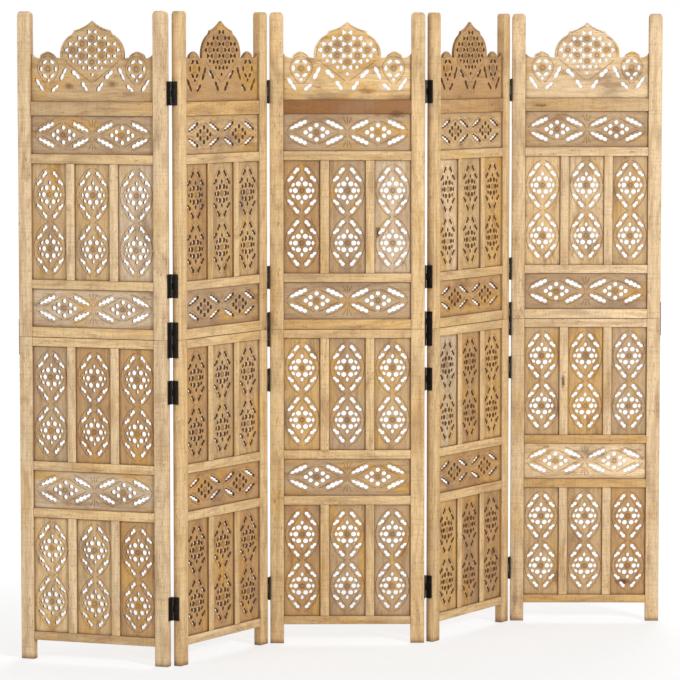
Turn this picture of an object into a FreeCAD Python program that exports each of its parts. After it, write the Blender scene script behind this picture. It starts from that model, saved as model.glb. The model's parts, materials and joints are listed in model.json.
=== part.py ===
import FreeCAD, Part
import math
import os

from FreeCAD import Placement, Rotation, Vector

# Folding screen of five carved wooden panels that stands in a zigzag on its posts.
# Each panel is an upper and a lower frame of posts and rails, dowelled at a seam, with pierced
# boards held in grooves and a pierced crown board between the post tops.
# Lengths are millimetres and angles degrees. +Z is up and the front looks towards -Y.
# A panel is drawn flat, its left edge at x = 0 and its front face at y = 0, and then placed.
# A share is a part of the opening, or of the size, that is named beside it.

# Screen
panel_height = 1650.0
panel_width = 404.0
panel_angles = (-20.0, 57.0, 0.0, 57.0, -1.5)
root_panel = 3

# Posts
post_width = 36.0
post_depth = 20.0
post_top_run = 9.0
post_top_rise = 12.0
top_bulge_share = 0.25

# Rails from the floor up, and the openings between them as shares of the panel's height
leg_height = 50.0
lower_rails = (22.0, 24.0, 23.0, 23.0)
upper_rails = (26.0, 23.0, 24.0, 35.0)
lower_boards = ("fret", "band", "fret")
upper_boards = ("band", "fret", "band")
fret_height_share = 0.1782
band_height_share = 0.0588
crown_height_share = 0.123
rail_depth = 19.0
seam_setback = 0.5

# Muntins part a fret row into equal openings
muntin_width = 23.0
muntin_depth = 18.0
frets_in_row = 3

# Joinery
board_thickness = 8.0
groove_depth = 6.0
tenon_length = 18.0
fit_clearance = 0.2
dowel_diameter = 8.0
dowel_length = 30.0
dowel_inset = 9.0

# Fret piercing, places as shares of the opening's width and of one medallion's height
medallion_rise_share = 0.465
drop_diameter = 13.0
drop_shares = ((0.096, 0.119), (0.178, 0))
seed_length = 12.0
seed_width = 7.5
seed_shares = ((0, 0.207), (0.302, 0), (0.235, 0.1))
seed_angles = (90.0, 90.0, 57.0)
leaf_cut_length = 20.0
leaf_cut_width = 10.0
leaf_cut_crest_shares = (1, 0.8)
leaf_cut_valley_shares = (0.68,)
leaf_cut_shares = ((0.155, 0.348), (0.31, 0.207))
leaf_cut_angles = (50.0, 42.0)

# Band piercing, places as shares of the opening's width and height
band_medallion_share = 0.241
bead_diameter = 11.5
bead_shares = ((0, 0.19), (0.048, 0.093), (0.085, 0))
feather_share = (0.1416, 0.2)
feather_length = 49.0
feather_width = 13.0
feather_angle = 25.0
feather_crest_shares = (0.75, 1, 0.84, 0.58)
feather_valley_shares = (0.62, 0.66, 0.48)

# Crown outline from the post to the apex, as shares of its half width and of its height
crown_shoulder_share = (1, 0.596)
crown_sweep_shares = ((0.934, 0.549), (0.861, 0.537))
crown_lobe_start_share = (0.849, 0.576)
crown_lobe_rise_shares = ((0.791, 0.605), (0.732, 0.622))
crown_lobe_fall_shares = ((0.678, 0.605), (0.626, 0.576))
crown_lobe_end_share = (0.614, 0.552)
crown_valley_shares = ((0.567, 0.542), (0.522, 0.537))
crown_dome_shares = ((0.475, 0.724), (0.319, 0.837))
crown_step_share = (0.29, 0.882)
crown_ogee_shares = ((0.133, 0.926), (0, 1))

# Crown piercing, places as shares of its half width and of its height
lattice_columns = 3
lattice_top_share = 0.788
lattice_pitch_shares = (0.157, 0.148)
lattice_tip_radius = 6.3
lattice_valley_radius = 3.6
lattice_lobes = 3
pendant_diameter = 8.5
pendant_shares = ((0, 0.335), (0.15, 0.42), (0.313, 0.503))
side_rosette_share = (0.723, 0.405)
side_rosette_pitch_shares = (0.18, 0.17)
side_pendant_share = 0.262
side_leaf_length = 16.0
side_leaf_width = 9.0
side_leaf_angle = 30.0
crown_cut_crest_shares = (1, 0.85)
crown_cut_valley_shares = (0.7,)
crown_cut_shares = ((0.867, 0.205), (0.614, 0.167), (0.476, 0.345), (0.271, 0.335), (0.128, 0.187))
crown_cut_lengths = (40.0, 26.0, 38.0, 30.0, 29.0)
crown_cut_widths = (10.0, 10.0, 10.5, 12.0, 11.0)
crown_cut_angles = (56.0, -41.0, -63.0, 43.0, 55.0)

# Hinges, with heights as shares of the panel's height and a long one across the seam
hinge_height_shares = (0.0885, 0.4212, 0.5836, 0.8758)
short_leaf_length = 60.0
long_leaf_length = 90.0
leaf_thickness = 1.5
leaf_space = 1.0
leaf_cover = 17.0
barrel_radius = 3.0
barrel_lift = 0.5
short_knuckles = 3
long_knuckles = 5
knuckle_gap = 0.4
pin_radius = 1.5
pin_clearance = 0.1
pin_overhang = 0.8

# Countersunk screws, their heights as shares of the plate's length
screw_length = 14.0
screw_tip = 4.0
screw_radius = 1.5
screw_head_radius = 3.0
screw_inset = 9.0
short_screw_shares = (-0.3, 0.3)
long_screw_shares = (-0.42, -0.222, 0.222, 0.42)

# Derived sizes
panel_count = len(panel_angles)
root_index = root_panel - 1
opening_width = panel_width - 2 * post_width
fret_width = (opening_width - (frets_in_row - 1) * muntin_width) / frets_in_row
board_heights = {"fret": fret_height_share * panel_height, "band": band_height_share * panel_height}
crown_height = crown_height_share * panel_height
crown_half_width = opening_width / 2
groove_width = board_thickness + 2 * fit_clearance
tongue = groove_depth - fit_clearance
board_front = (post_depth - board_thickness) / 2
groove_front = (post_depth - groove_width) / 2
hinge_gap = 2 * leaf_thickness + leaf_space
barrel_offset = barrel_radius + barrel_lift
mirror_plane = Vector(panel_width / 2, 0, 0)
across = Vector(1, 0, 0)
inward = Vector(0, 1, 0)
upward = Vector(0, 0, 1)


def stack_up(level, rails, kinds):
    """Rails as (bottom, height), boards as (kind, bottom), and the level reached, from a start level."""
    rail_list = []
    board_list = []
    for index, rail_height in enumerate(rails):
        rail_list.append((level, rail_height))
        level += rail_height
        if index < len(kinds):
            board_list.append((kinds[index], level))
            level += board_heights[kinds[index]]
    return rail_list, board_list, level


lower_rail_list, lower_board_list, seam = stack_up(leg_height, lower_rails, lower_boards)
upper_rail_list, upper_board_list, crown_base = stack_up(seam, upper_rails, upper_boards)
rail_list = lower_rail_list + upper_rail_list
board_list = lower_board_list + upper_board_list


def box(x, y, z, width, depth, height):
    """Box from its low corner and its size."""
    return Part.makeBox(width, depth, height, Vector(x, y, z))


def front_points(points):
    """Points of the front plane from pairs of x and z."""
    return [Vector(x, 0, z) for x, z in points]


def arc(start, middle, end):
    """Edge of a circle through three points."""
    return Part.Arc(start, middle, end).toShape()


def four_ways(x, z):
    """A place and its mirror images across both axes, each once."""
    return sorted({(side * x, level * z) for side in (-1, 1) for level in (-1, 1)})


def slope_sign(x, z):
    """Sense of a cut that lies along a diamond's side around the middle."""
    return math.copysign(1, -x * z)


def round_hole(x, z, diameter):
    """Wire of a round hole in the front plane."""
    return Part.Wire([Part.Circle(Vector(x, 0, z), inward, diameter / 2).toShape()])


def placed_wire(edges, x, z, angle):
    """Wire drawn about the origin, tilted by an angle that rises to the right, then moved."""
    wire = Part.Wire(edges)
    wire.rotate(Vector(), inward, -angle)
    wire.translate(Vector(x, 0, z))
    return wire


def leaf_hole(x, z, length, width, angle):
    """Wire of a pointed leaf between two arcs."""
    left, top, right, bottom = front_points(
        ((-length / 2, 0), (0, width / 2), (length / 2, 0), (0, -width / 2)))
    return placed_wire([arc(left, top, right), arc(right, bottom, left)], x, z, angle)


def lobed_hole(x, z, length, width, angle, crest_shares, valley_shares):
    """Wire of a leaf whose two sides are rows of lobes, the first at the end that is left untilted."""
    edges = []
    pitch = length / len(crest_shares)
    ends = (0,) + valley_shares + (0,)
    for side in (1, -1):
        rise = side * width / 2
        for lobe, crest_share in enumerate(crest_shares):
            start = lobe * pitch - length / 2
            points = front_points((
                (start, ends[lobe] * rise),
                (start + pitch / 2, crest_share * rise),
                (start + pitch, ends[lobe + 1] * rise)))
            edges.append(arc(*points))
    return placed_wire(Part.__sortEdges__(edges), x, z, angle)


def outward_angle(x, z, angle):
    """Angle that turns the last lobe of a cut on a diamond's side away from the middle."""
    return slope_sign(x, z) * angle + (180 if x < 0 else 0)


def clover_hole(x, z, points_right):
    """Wire of a clover whose first lobe points to the right or to the left."""
    edges = []
    step = 2 * math.pi / lattice_lobes
    for lobe in range(lattice_lobes):
        turn = lobe * step + (0 if points_right else math.pi)
        corners = ((turn - step / 2, lattice_valley_radius), (turn, lattice_tip_radius),
                   (turn + step / 2, lattice_valley_radius))
        edges.append(arc(*front_points((r * math.cos(t), r * math.sin(t)) for t, r in corners)))
    return placed_wire(edges, x, z, 0)


def pierced(outline, holes):
    """Board of a wire's outline, cut through by the hole wires and set at its depth in the frame."""
    face = Part.makeFace([outline] + holes, "Part::FaceMakerBullseye")
    board = face.extrude(inward * board_thickness)
    board.translate(inward * board_front)
    return board.Solids[0]


def board_outline(width, height):
    """Wire of a board with its tongues, about the centre of its opening, seated in the groove below."""
    half = width / 2 + tongue
    top = height / 2 + tongue
    bottom = -height / 2 - groove_depth
    return Part.makePolygon(front_points(
        ((-half, bottom), (half, bottom), (half, top), (-half, top), (-half, bottom))))


def fret_board():
    """Fret of two medallions, drawn about the centre of its opening."""
    height = board_heights["fret"]
    cell = height / 2
    holes = []
    for side in (-1, 1):
        middle = side * medallion_rise_share * cell
        for x_share, z_share in drop_shares:
            for x, z in four_ways(x_share * fret_width, z_share * cell):
                holes.append(round_hole(x, middle + z, drop_diameter))
        for (x_share, z_share), angle in zip(seed_shares, seed_angles):
            for x, z in four_ways(x_share * fret_width, z_share * cell):
                tilt = slope_sign(x, z) * angle
                holes.append(leaf_hole(x, middle + z, seed_length, seed_width, tilt))
        for (x_share, z_share), angle in zip(leaf_cut_shares, leaf_cut_angles):
            for x, z in four_ways(x_share * fret_width, z_share * cell):
                holes.append(lobed_hole(x, middle + z, leaf_cut_length, leaf_cut_width,
                                        outward_angle(x, z, angle),
                                        leaf_cut_crest_shares, leaf_cut_valley_shares))
    return pierced(board_outline(fret_width, height), holes)


def band_board():
    """Band of two beaded medallions framed by feathers, drawn about the centre of its opening."""
    height = board_heights["band"]
    holes = []
    for side in (-1, 1):
        middle = side * band_medallion_share * opening_width
        for x_share, z_share in bead_shares:
            for x, z in four_ways(x_share * opening_width, z_share * height):
                holes.append(round_hole(middle + x, z, bead_diameter))
        x_share, z_share = feather_share
        for x, z in four_ways(x_share * opening_width, z_share * height):
            holes.append(lobed_hole(middle + x, z, feather_length, feather_width,
                                    outward_angle(x, z, feather_angle),
                                    feather_crest_shares, feather_valley_shares))
    return pierced(board_outline(opening_width, height), holes)


def crown_point(share, side):
    """Point of the crown's outline on its left, -1, or right, 1, half."""
    return Vector(side * share[0] * crown_half_width, 0, share[1] * crown_height)


def crown_side(side):
    """Edges of one half of the crown's scalloped top, from the post to the apex."""
    shoulder = crown_point(crown_shoulder_share, side)
    sweep_middle, sweep_end = [crown_point(share, side) for share in crown_sweep_shares]
    lobe_start = crown_point(crown_lobe_start_share, side)
    rise_middle, lobe_top = [crown_point(share, side) for share in crown_lobe_rise_shares]
    fall_middle, lobe_end = [crown_point(share, side) for share in crown_lobe_fall_shares]
    valley_start = crown_point(crown_lobe_end_share, side)
    valley_middle, valley_end = [crown_point(share, side) for share in crown_valley_shares]
    dome_middle, dome_end = [crown_point(share, side) for share in crown_dome_shares]
    step = crown_point(crown_step_share, side)
    ogee_middle, apex = [crown_point(share, side) for share in crown_ogee_shares]
    tongue_top = shoulder + across * side * tongue
    foot = Vector(tongue_top.x, 0, -groove_depth)
    return [
        Part.makeLine(foot, tongue_top),
        Part.makeLine(tongue_top, shoulder),
        arc(shoulder, sweep_middle, sweep_end),
        Part.makeLine(sweep_end, lobe_start),
        arc(lobe_start, rise_middle, lobe_top),
        arc(lobe_top, fall_middle, lobe_end),
        Part.makeLine(lobe_end, valley_start),
        arc(valley_start, valley_middle, valley_end),
        arc(valley_end, dome_middle, dome_end),
        Part.makeLine(dome_end, step),
        arc(step, ogee_middle, apex),
    ]


def six_around(x, z, pitch_shares):
    """Six places round a boss of a lattice with the given pitches."""
    column = pitch_shares[0] * crown_half_width
    row = pitch_shares[1] * crown_height
    ring = [(x + 2 * side * column / 3, z) for side in (-1, 1)]
    ring += [(x + dx, z + dz) for dx, dz in four_ways(column / 3, row / 2)]
    return ring


def lattice_clovers():
    """Crown's lattice clovers as (x, z, points right), each once, round columns of bosses."""
    column_pitch = lattice_pitch_shares[0] * crown_half_width
    row_pitch = lattice_pitch_shares[1] * crown_height
    clovers = []
    for column in range(1 - lattice_columns, lattice_columns):
        for row in range(lattice_columns - abs(column)):
            middle = column * column_pitch
            level = lattice_top_share * crown_height - (row + abs(column) / 2) * row_pitch
            for x, z in six_around(middle, level, lattice_pitch_shares):
                if all(math.dist((x, z), other[:2]) > lattice_tip_radius for other in clovers):
                    is_beside = abs(x - middle) > column_pitch / 2
                    clovers.append((x, z, (x > middle) == is_beside))
    return clovers


def side_rosette(side):
    """Wires of a crown's side rosette: a ring of six leaves and a drop under it."""
    x = side * side_rosette_share[0] * crown_half_width
    z = side_rosette_share[1] * crown_height
    wires = [round_hole(x, side_pendant_share * crown_height, pendant_diameter)]
    for leaf_x, leaf_z in six_around(x, z, side_rosette_pitch_shares):
        angle = 90 if leaf_z == z else slope_sign(leaf_x - x, leaf_z - z) * side_leaf_angle
        wires.append(leaf_hole(leaf_x, leaf_z, side_leaf_length, side_leaf_width, angle))
    return wires


def crown_board():
    """Crown with a lattice dome between two side rosettes, drawn about the middle of its foot."""
    holes = [clover_hole(x, z, points_right) for x, z, points_right in lattice_clovers()]
    for x_share, z_share in pendant_shares:
        for x in sorted({-x_share * crown_half_width, x_share * crown_half_width}):
            holes.append(round_hole(x, z_share * crown_height, pendant_diameter))
    for side in (-1, 1):
        holes += side_rosette(side)
        for share, length, width, angle in zip(crown_cut_shares, crown_cut_lengths,
                                               crown_cut_widths, crown_cut_angles):
            place = crown_point(share, side)
            holes.append(lobed_hole(place.x, place.z, length, width, side * angle,
                                    crown_cut_crest_shares, crown_cut_valley_shares))
    left = crown_side(-1)
    right = crown_side(1)
    foot = Part.makeLine(left[0].Vertexes[0].Point, right[0].Vertexes[0].Point)
    outline = Part.Wire(Part.__sortEdges__([foot] + left + right))
    return pierced(outline, holes)


def rail(bottom, height, has_groove_below, has_groove_above):
    """Rail between the posts with grooves for the boards and a tenon at each end."""
    low = bottom + (seam_setback if bottom == seam else 0)
    high = bottom + height - (seam_setback if bottom + height == seam else 0)
    front = (post_depth - rail_depth) / 2
    body = box(post_width, front, low, opening_width, rail_depth, high - low)
    if has_groove_below:
        body = body.cut(box(post_width, groove_front, low, opening_width, groove_width, groove_depth))
    if has_groove_above:
        top = high - groove_depth
        body = body.cut(box(post_width, groove_front, top, opening_width, groove_width, groove_depth))
    tenon = box(post_width - tenon_length, board_front, bottom + groove_depth,
                panel_width - 2 * (post_width - tenon_length), board_thickness,
                height - 2 * groove_depth)
    return body.fuse(tenon).removeSplitter().Solids[0]


def rails():
    """The eight rails of a panel."""
    pieces = []
    for bottom, height in rail_list:
        has_groove_below = bottom not in (leg_height, seam)
        has_groove_above = (bottom, height) != lower_rail_list[-1]
        pieces.append(rail(bottom, height, has_groove_below, has_groove_above))
    return pieces


def muntin(left, bottom):
    """Muntin with a groove in each side and a stub tenon at each end."""
    height = board_heights["fret"]
    body = box(left, (post_depth - muntin_depth) / 2, bottom, muntin_width, muntin_depth, height)
    for groove_left in (left, left + muntin_width - groove_depth):
        body = body.cut(box(groove_left, groove_front, bottom, groove_depth, groove_width, height))
    stub = box(left + groove_depth, board_front, bottom - tongue,
               muntin_width - 2 * groove_depth, board_thickness, height + 2 * tongue)
    return body.fuse(stub).removeSplitter().Solids[0]


def muntins():
    """The muntins of a panel's fret rows."""
    pieces = []
    for kind, bottom in board_list:
        if kind == "fret":
            for index in range(1, frets_in_row):
                left = post_width + index * fret_width + (index - 1) * muntin_width
                pieces.append(muntin(left, bottom))
    return pieces


def moved(shape, x, z):
    """Copy of a shape, moved in the front plane."""
    copy = shape.copy()
    copy.translate(Vector(x, 0, z))
    return copy


def frets():
    """The frets of a panel, side by side in each fret row."""
    board = fret_board()
    pieces = []
    for kind, bottom in board_list:
        if kind == "fret":
            for index in range(frets_in_row):
                middle = post_width + fret_width / 2 + index * (fret_width + muntin_width)
                pieces.append(moved(board, middle, bottom + board_heights[kind] / 2))
    return pieces


def bands():
    """The bands of a panel."""
    board = band_board()
    return [moved(board, panel_width / 2, bottom + board_heights[kind] / 2)
            for kind, bottom in board_list if kind == "band"]


def rounded_post():
    """Upper post before its joints, with both top corners rounded."""
    rise_start = panel_height - post_top_rise
    bulge = (top_bulge_share * post_top_run, panel_height - top_bulge_share * post_top_rise)
    points = front_points((
        (0, seam), (post_width, seam), (post_width, rise_start), (post_width - bulge[0], bulge[1]),
        (post_width - post_top_run, panel_height), (post_top_run, panel_height),
        bulge, (0, rise_start)))
    left_foot, right_foot, right_rise, right_bulge, right_top, left_top, left_bulge, left_rise = points
    wire = Part.Wire([
        Part.makeLine(left_foot, right_foot),
        Part.makeLine(right_foot, right_rise),
        arc(right_rise, right_bulge, right_top),
        Part.makeLine(right_top, left_top),
        arc(left_top, left_bulge, left_rise),
        Part.makeLine(left_rise, left_foot),
    ])
    return Part.Face(wire).extrude(inward * post_depth)


def left_post(blank, half_rails, groove_bottom, groove_top):
    """Left post with the groove for the boards, a mortise for each rail and a dowel hole at the seam."""
    cuts = [box(post_width - groove_depth, groove_front, groove_bottom,
                groove_depth, groove_width, groove_top - groove_bottom)]
    mortise_depth = tenon_length + fit_clearance
    for bottom, height in half_rails:
        cuts.append(box(post_width - mortise_depth, groove_front, bottom + groove_depth - fit_clearance,
                        mortise_depth, groove_width, height - 2 * tongue))
    hole_length = dowel_length + 2 * fit_clearance
    cuts.append(Part.makeCylinder(dowel_diameter / 2 + fit_clearance, hole_length,
                                  Vector(dowel_inset, post_depth / 2, seam - hole_length / 2)))
    return blank.cut(cuts)


def left_posts():
    """Lower and upper left posts of a panel, before the screw holes."""
    lower = left_post(box(0, 0, 0, post_width, post_depth, seam), lower_rail_list,
                      leg_height + groove_depth, seam - groove_depth)
    crown_shoulder = crown_base + crown_shoulder_share[1] * crown_height
    upper = left_post(rounded_post(), upper_rail_list, seam + groove_depth, crown_shoulder + fit_clearance)
    return lower, upper


def dowels():
    """Dowels that join the upper posts to the lower ones."""
    return [Part.makeCylinder(dowel_diameter / 2, dowel_length,
                              Vector(x, post_depth / 2, seam - dowel_length / 2))
            for x in (dowel_inset, panel_width - dowel_inset)]


def hinge_list():
    """Hinges of one joint as (middle height, leaf length, knuckles, screw shares)."""
    short = (short_leaf_length, short_knuckles, short_screw_shares)
    hinges = [(share * panel_height,) + short for share in hinge_height_shares]
    return hinges + [(seam, long_leaf_length, long_knuckles, long_screw_shares)]


def folds_back(joint):
    """Whether a joint's barrels stand behind the screen, as every second joint's do."""
    return joint % 2 == 0


def axis_depth(joint):
    """Depth of a joint's hinge axis in its two panels."""
    return post_depth + barrel_offset if folds_back(joint) else -barrel_offset


def leaf(length, knuckles, first_knuckle):
    """Leaf against the plane x = 0 with its barrel behind y = 0 and every second knuckle, from z = 0."""
    pitch = length / knuckles
    half_gap = knuckle_gap / 2
    body = box(0, -leaf_cover, half_gap, leaf_thickness, leaf_cover + barrel_offset, length - knuckle_gap)
    notch_front = barrel_lift - knuckle_gap
    for knuckle in range(knuckles):
        if knuckle % 2 == first_knuckle:
            body = body.fuse(Part.makeCylinder(barrel_radius, pitch - knuckle_gap, Vector(
                hinge_gap / 2, barrel_offset, knuckle * pitch + half_gap)))
        else:
            body = body.cut(box(0, notch_front, knuckle * pitch - half_gap,
                                leaf_thickness, barrel_offset, pitch + knuckle_gap))
    bore = Part.makeCylinder(pin_radius + pin_clearance, length, Vector(hinge_gap / 2, barrel_offset, 0))
    return body.cut(bore)


def countersink():
    """Cutter for a screw's head, along +X from the outer face of a plate at x = 0."""
    return Part.makeCone(screw_head_radius + fit_clearance, screw_radius + fit_clearance,
                         leaf_thickness, Vector(), across)


def screw():
    """Countersunk wood screw along +X with the top of its head at x = 0."""
    profile = Part.makePolygon([
        Vector(),
        Vector(0, screw_head_radius, 0),
        Vector(leaf_thickness, screw_radius, 0),
        Vector(screw_length - screw_tip, screw_radius, 0),
        Vector(screw_length, 0, 0),
        Vector(),
    ])
    return Part.Face(profile).revolve(Vector(), across, 360).Solids[0]


def pilot():
    """Cutter for a screw's hole in a post, along +X from the post's side face at x = 0."""
    return Part.makeCylinder(screw_radius + fit_clearance, screw_length - leaf_thickness + fit_clearance,
                             Vector(), across)


def on_side(shape, is_right, lift, depth, height):
    """Copy of a shape that points along +X, set on a panel's side, lifted off the face by a plate."""
    copy = shape.copy()
    if is_right:
        copy.rotate(Vector(), upward, 180)
        copy.translate(Vector(panel_width + lift, depth, height))
    else:
        copy.translate(Vector(-lift, depth, height))
    return copy


def screw_depth(joint):
    """Depth of the line of screws in a joint's leaves."""
    return post_depth - screw_inset if folds_back(joint) else screw_inset


def side_screws(index, is_right):
    """Depth and height of each screw in one side of a panel."""
    joint = index if is_right else index - 1
    if 0 <= joint < panel_count - 1:
        return [(screw_depth(joint), middle + share * length)
                for middle, length, knuckles, shares in hinge_list() for share in shares]
    return [(post_depth / 2, seam + share * long_leaf_length) for share in long_screw_shares]


def leaves(joint, is_right):
    """Leaves of one joint on the right side of its left panel, or on the left side of its right one."""
    pieces = []
    sink = countersink()
    for middle, length, knuckles, shares in hinge_list():
        piece = leaf(length, knuckles, 0 if is_right else 1)
        if folds_back(joint):
            piece.translate(Vector(0, post_depth, middle - length / 2))
        else:
            piece = piece.mirror(Vector(), inward)
            piece.translate(Vector(0, 0, middle - length / 2))
        if is_right:
            piece.translate(across * panel_width)
        else:
            piece = piece.mirror(Vector(), across)
        sinks = [on_side(sink, is_right, leaf_thickness, screw_depth(joint), middle + share * length)
                 for share in shares]
        pieces.append(piece.cut(sinks).Solids[0])
    return pieces


def pins(joint):
    """Hinge pins of one joint, in its left panel's place."""
    return [Part.makeCylinder(pin_radius, length + 2 * pin_overhang, Vector(
        panel_width + hinge_gap / 2, axis_depth(joint), middle - length / 2 - pin_overhang))
        for middle, length, knuckles, shares in hinge_list()]


def end_plate(is_right):
    """Flat mending plate across the seam on the screen's free edge."""
    x = panel_width if is_right else -leaf_thickness
    plate = box(x, (post_depth - leaf_cover) / 2, seam - long_leaf_length / 2,
                leaf_thickness, leaf_cover, long_leaf_length)
    sink = countersink()
    sinks = [on_side(sink, is_right, leaf_thickness, post_depth / 2, seam + share * long_leaf_length)
             for share in long_screw_shares]
    return plate.cut(sinks).Solids[0]


def drilled(posts, index):
    """Left and right posts with the pilot holes of a panel's screws."""
    left, right = posts
    cutter = pilot()
    left_cuts = [on_side(cutter, False, 0, depth, height) for depth, height in side_screws(index, False)]
    right_cuts = [on_side(cutter, True, 0, depth, height) for depth, height in side_screws(index, True)]
    return [left.cut(left_cuts).Solids[0], right.cut(right_cuts).Solids[0]]


def screws(index):
    """All screws of a panel."""
    piece = screw()
    return [on_side(piece, is_right, leaf_thickness, depth, height)
            for is_right in (False, True) for depth, height in side_screws(index, is_right)]


def joint_point(joint, is_right):
    """Foot of a joint's axis, seen from its left panel's right side or its right panel's left side."""
    x = panel_width + hinge_gap / 2 if is_right else -hinge_gap / 2
    return Vector(x, axis_depth(joint), 0)


def chained_places():
    """Panel places, chained both ways from the root panel through the joint axes."""
    turns = [Rotation(upward, angle) for angle in panel_angles]
    bases = [Vector() for turn in turns]
    for index in range(root_index, panel_count - 1):
        axis = bases[index] + turns[index].multVec(joint_point(index, True))
        bases[index + 1] = axis - turns[index + 1].multVec(joint_point(index, False))
    for index in range(root_index - 1, -1, -1):
        axis = bases[index + 1] + turns[index + 1].multVec(joint_point(index, False))
        bases[index] = axis - turns[index].multVec(joint_point(index, True))
    return [Placement(base, turn) for base, turn in zip(bases, turns)]


def plan_centre(places):
    """Centre of the screen's box on the floor, from the panels' corners and the barrels."""
    corners = []
    for index, place in enumerate(places):
        left = -leaf_thickness if index == 0 else 0
        right = panel_width + (leaf_thickness if index == panel_count - 1 else 0)
        for x in (0, panel_width):
            corners += [place.multVec(Vector(x, y, 0)) for y in (0, post_depth)]
        for x in (left, right):
            corners += [place.multVec(Vector(x, (post_depth + side * leaf_cover) / 2, 0)) for side in (-1, 1)]
        if index < panel_count - 1:
            axis = place.multVec(joint_point(index, True))
            corners += [axis + side * barrel_radius * Vector(1, 1, 0) for side in (-1, 1)]
    xs = [corner.x for corner in corners]
    ys = [corner.y for corner in corners]
    return Vector((min(xs) + max(xs)) / 2, (min(ys) + max(ys)) / 2, 0)


def export(name, solids, place):
    """Writes a node's solids, each drawn in a panel, at that panel's place."""
    pieces = []
    for solid in solids:
        piece = solid.copy()
        piece.transformShape(place.toMatrix(), True)
        pieces.append(piece)
    shape = pieces[0] if len(pieces) == 1 else Part.makeCompound(pieces)
    shape.exportStep(os.path.join("parts", name + ".step"))


def main():
    """Builds every node and writes it."""
    os.makedirs("parts", exist_ok=True)
    places = chained_places()
    centre = plan_centre(places)
    for place in places:
        place.Base = place.Base - centre

    lower_left, upper_left = left_posts()
    lower_pair = (lower_left, lower_left.mirror(mirror_plane, across))
    upper_pair = (upper_left, upper_left.mirror(mirror_plane, across))
    crown = crown_board()
    crown.translate(Vector(panel_width / 2, 0, crown_base))
    shared = {"rails": rails(), "muntins": muntins(), "frets": frets(), "bands": bands(),
              "crown": [crown], "dowels": dowels()}

    for index, place in enumerate(places):
        panel = "panel_%d_" % (index + 1)
        export(panel + "lower_posts", drilled(lower_pair, index), place)
        export(panel + "upper_posts", drilled(upper_pair, index), place)
        for name, solids in shared.items():
            export(panel + name, solids, place)
        export(panel + "screws", screws(index), place)

    for joint in range(panel_count - 1):
        hinge = "hinge_%d%d_" % (joint + 1, joint + 2)
        export(hinge + "left_leaves", leaves(joint, True), places[joint])
        export(hinge + "right_leaves", leaves(joint, False), places[joint + 1])
        export(hinge + "pins", pins(joint), places[joint])
        axis = places[joint].multVec(joint_point(joint, True))
        print("hinge", joint + 1, joint + 2, "axis at x %.4f y %.4f" % (axis.x, axis.y))

    export("end_plate_left", [end_plate(False)], places[0])
    export("end_plate_right", [end_plate(True)], places[-1])
    for index, place in enumerate(places):
        print("panel", index + 1, "foot at x %.4f y %.4f" % (place.Base.x, place.Base.y))
    print("seam %.3f, crown from %.3f to %.3f" % (seam, crown_base, crown_base + crown_height))


main()
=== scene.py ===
"""Dresses the carved folding screen: timber frames, pierced boards, black hinges and the studio."""

from __future__ import annotations

import json
import logging
import math
import random
from collections.abc import Iterable, Mapping
from dataclasses import dataclass, field
from enum import Enum

import bmesh
import bpy
import numpy as np
from bpy.types import ID, Collection, Material, Mesh, Node, NodeSocket as Socket, Object
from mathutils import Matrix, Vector

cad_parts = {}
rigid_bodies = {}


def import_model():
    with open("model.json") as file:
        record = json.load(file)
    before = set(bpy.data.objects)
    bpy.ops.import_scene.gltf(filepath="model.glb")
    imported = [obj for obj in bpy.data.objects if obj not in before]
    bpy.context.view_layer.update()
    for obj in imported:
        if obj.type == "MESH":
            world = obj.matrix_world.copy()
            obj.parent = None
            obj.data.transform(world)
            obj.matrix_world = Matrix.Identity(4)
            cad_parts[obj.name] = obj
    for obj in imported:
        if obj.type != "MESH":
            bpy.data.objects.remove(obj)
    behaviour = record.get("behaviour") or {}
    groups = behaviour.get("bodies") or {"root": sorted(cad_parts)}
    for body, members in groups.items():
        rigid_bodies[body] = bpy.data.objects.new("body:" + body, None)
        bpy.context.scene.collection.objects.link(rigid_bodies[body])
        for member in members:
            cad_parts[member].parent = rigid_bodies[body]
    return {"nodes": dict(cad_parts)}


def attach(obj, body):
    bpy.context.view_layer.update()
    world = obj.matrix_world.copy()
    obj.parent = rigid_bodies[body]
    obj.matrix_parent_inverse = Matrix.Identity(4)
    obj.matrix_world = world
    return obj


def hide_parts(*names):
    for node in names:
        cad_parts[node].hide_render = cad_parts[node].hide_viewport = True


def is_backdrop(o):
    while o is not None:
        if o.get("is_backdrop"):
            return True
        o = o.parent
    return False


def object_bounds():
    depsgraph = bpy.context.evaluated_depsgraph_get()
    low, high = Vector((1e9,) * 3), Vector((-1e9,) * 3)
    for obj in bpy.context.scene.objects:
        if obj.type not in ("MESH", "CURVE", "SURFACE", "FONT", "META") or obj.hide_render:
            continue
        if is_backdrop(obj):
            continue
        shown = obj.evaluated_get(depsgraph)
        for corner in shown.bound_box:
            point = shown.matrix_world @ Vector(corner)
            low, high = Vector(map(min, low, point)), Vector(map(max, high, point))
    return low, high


LOG = logging.getLogger("screen")

Pair = tuple[float, float]
Point = tuple[float, float, float]
Colour = tuple[float, float, float]
Shares = tuple[Pair, ...]
Sides = Mapping[tuple[int, int, int], float]
Loop = np.ndarray
Faces = list[tuple[int, ...]]
# A piece: its points, its faces, and the painted shade at each corner of each face.
Board = tuple[np.ndarray, Faces, np.ndarray]
Inputs = Mapping[str | int, object]


def linear(red: int, green: int, blue: int) -> Colour:
    """Turns a display colour into the linear one that shaders take.

    Args:
        red: Display red, 0 to 255.
        green: Display green, 0 to 255.
        blue: Display blue, 0 to 255.

    Returns:
        The linear colour, 0 to 1.
    """
    toe, toe_slope, lift, power = 0.04045, 12.92, 0.055, 2.4
    shares = [part / 255 for part in (red, green, blue)]
    return tuple(s / toe_slope if s <= toe else ((s + lift) / (1 + lift)) ** power for s in shares)


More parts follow.
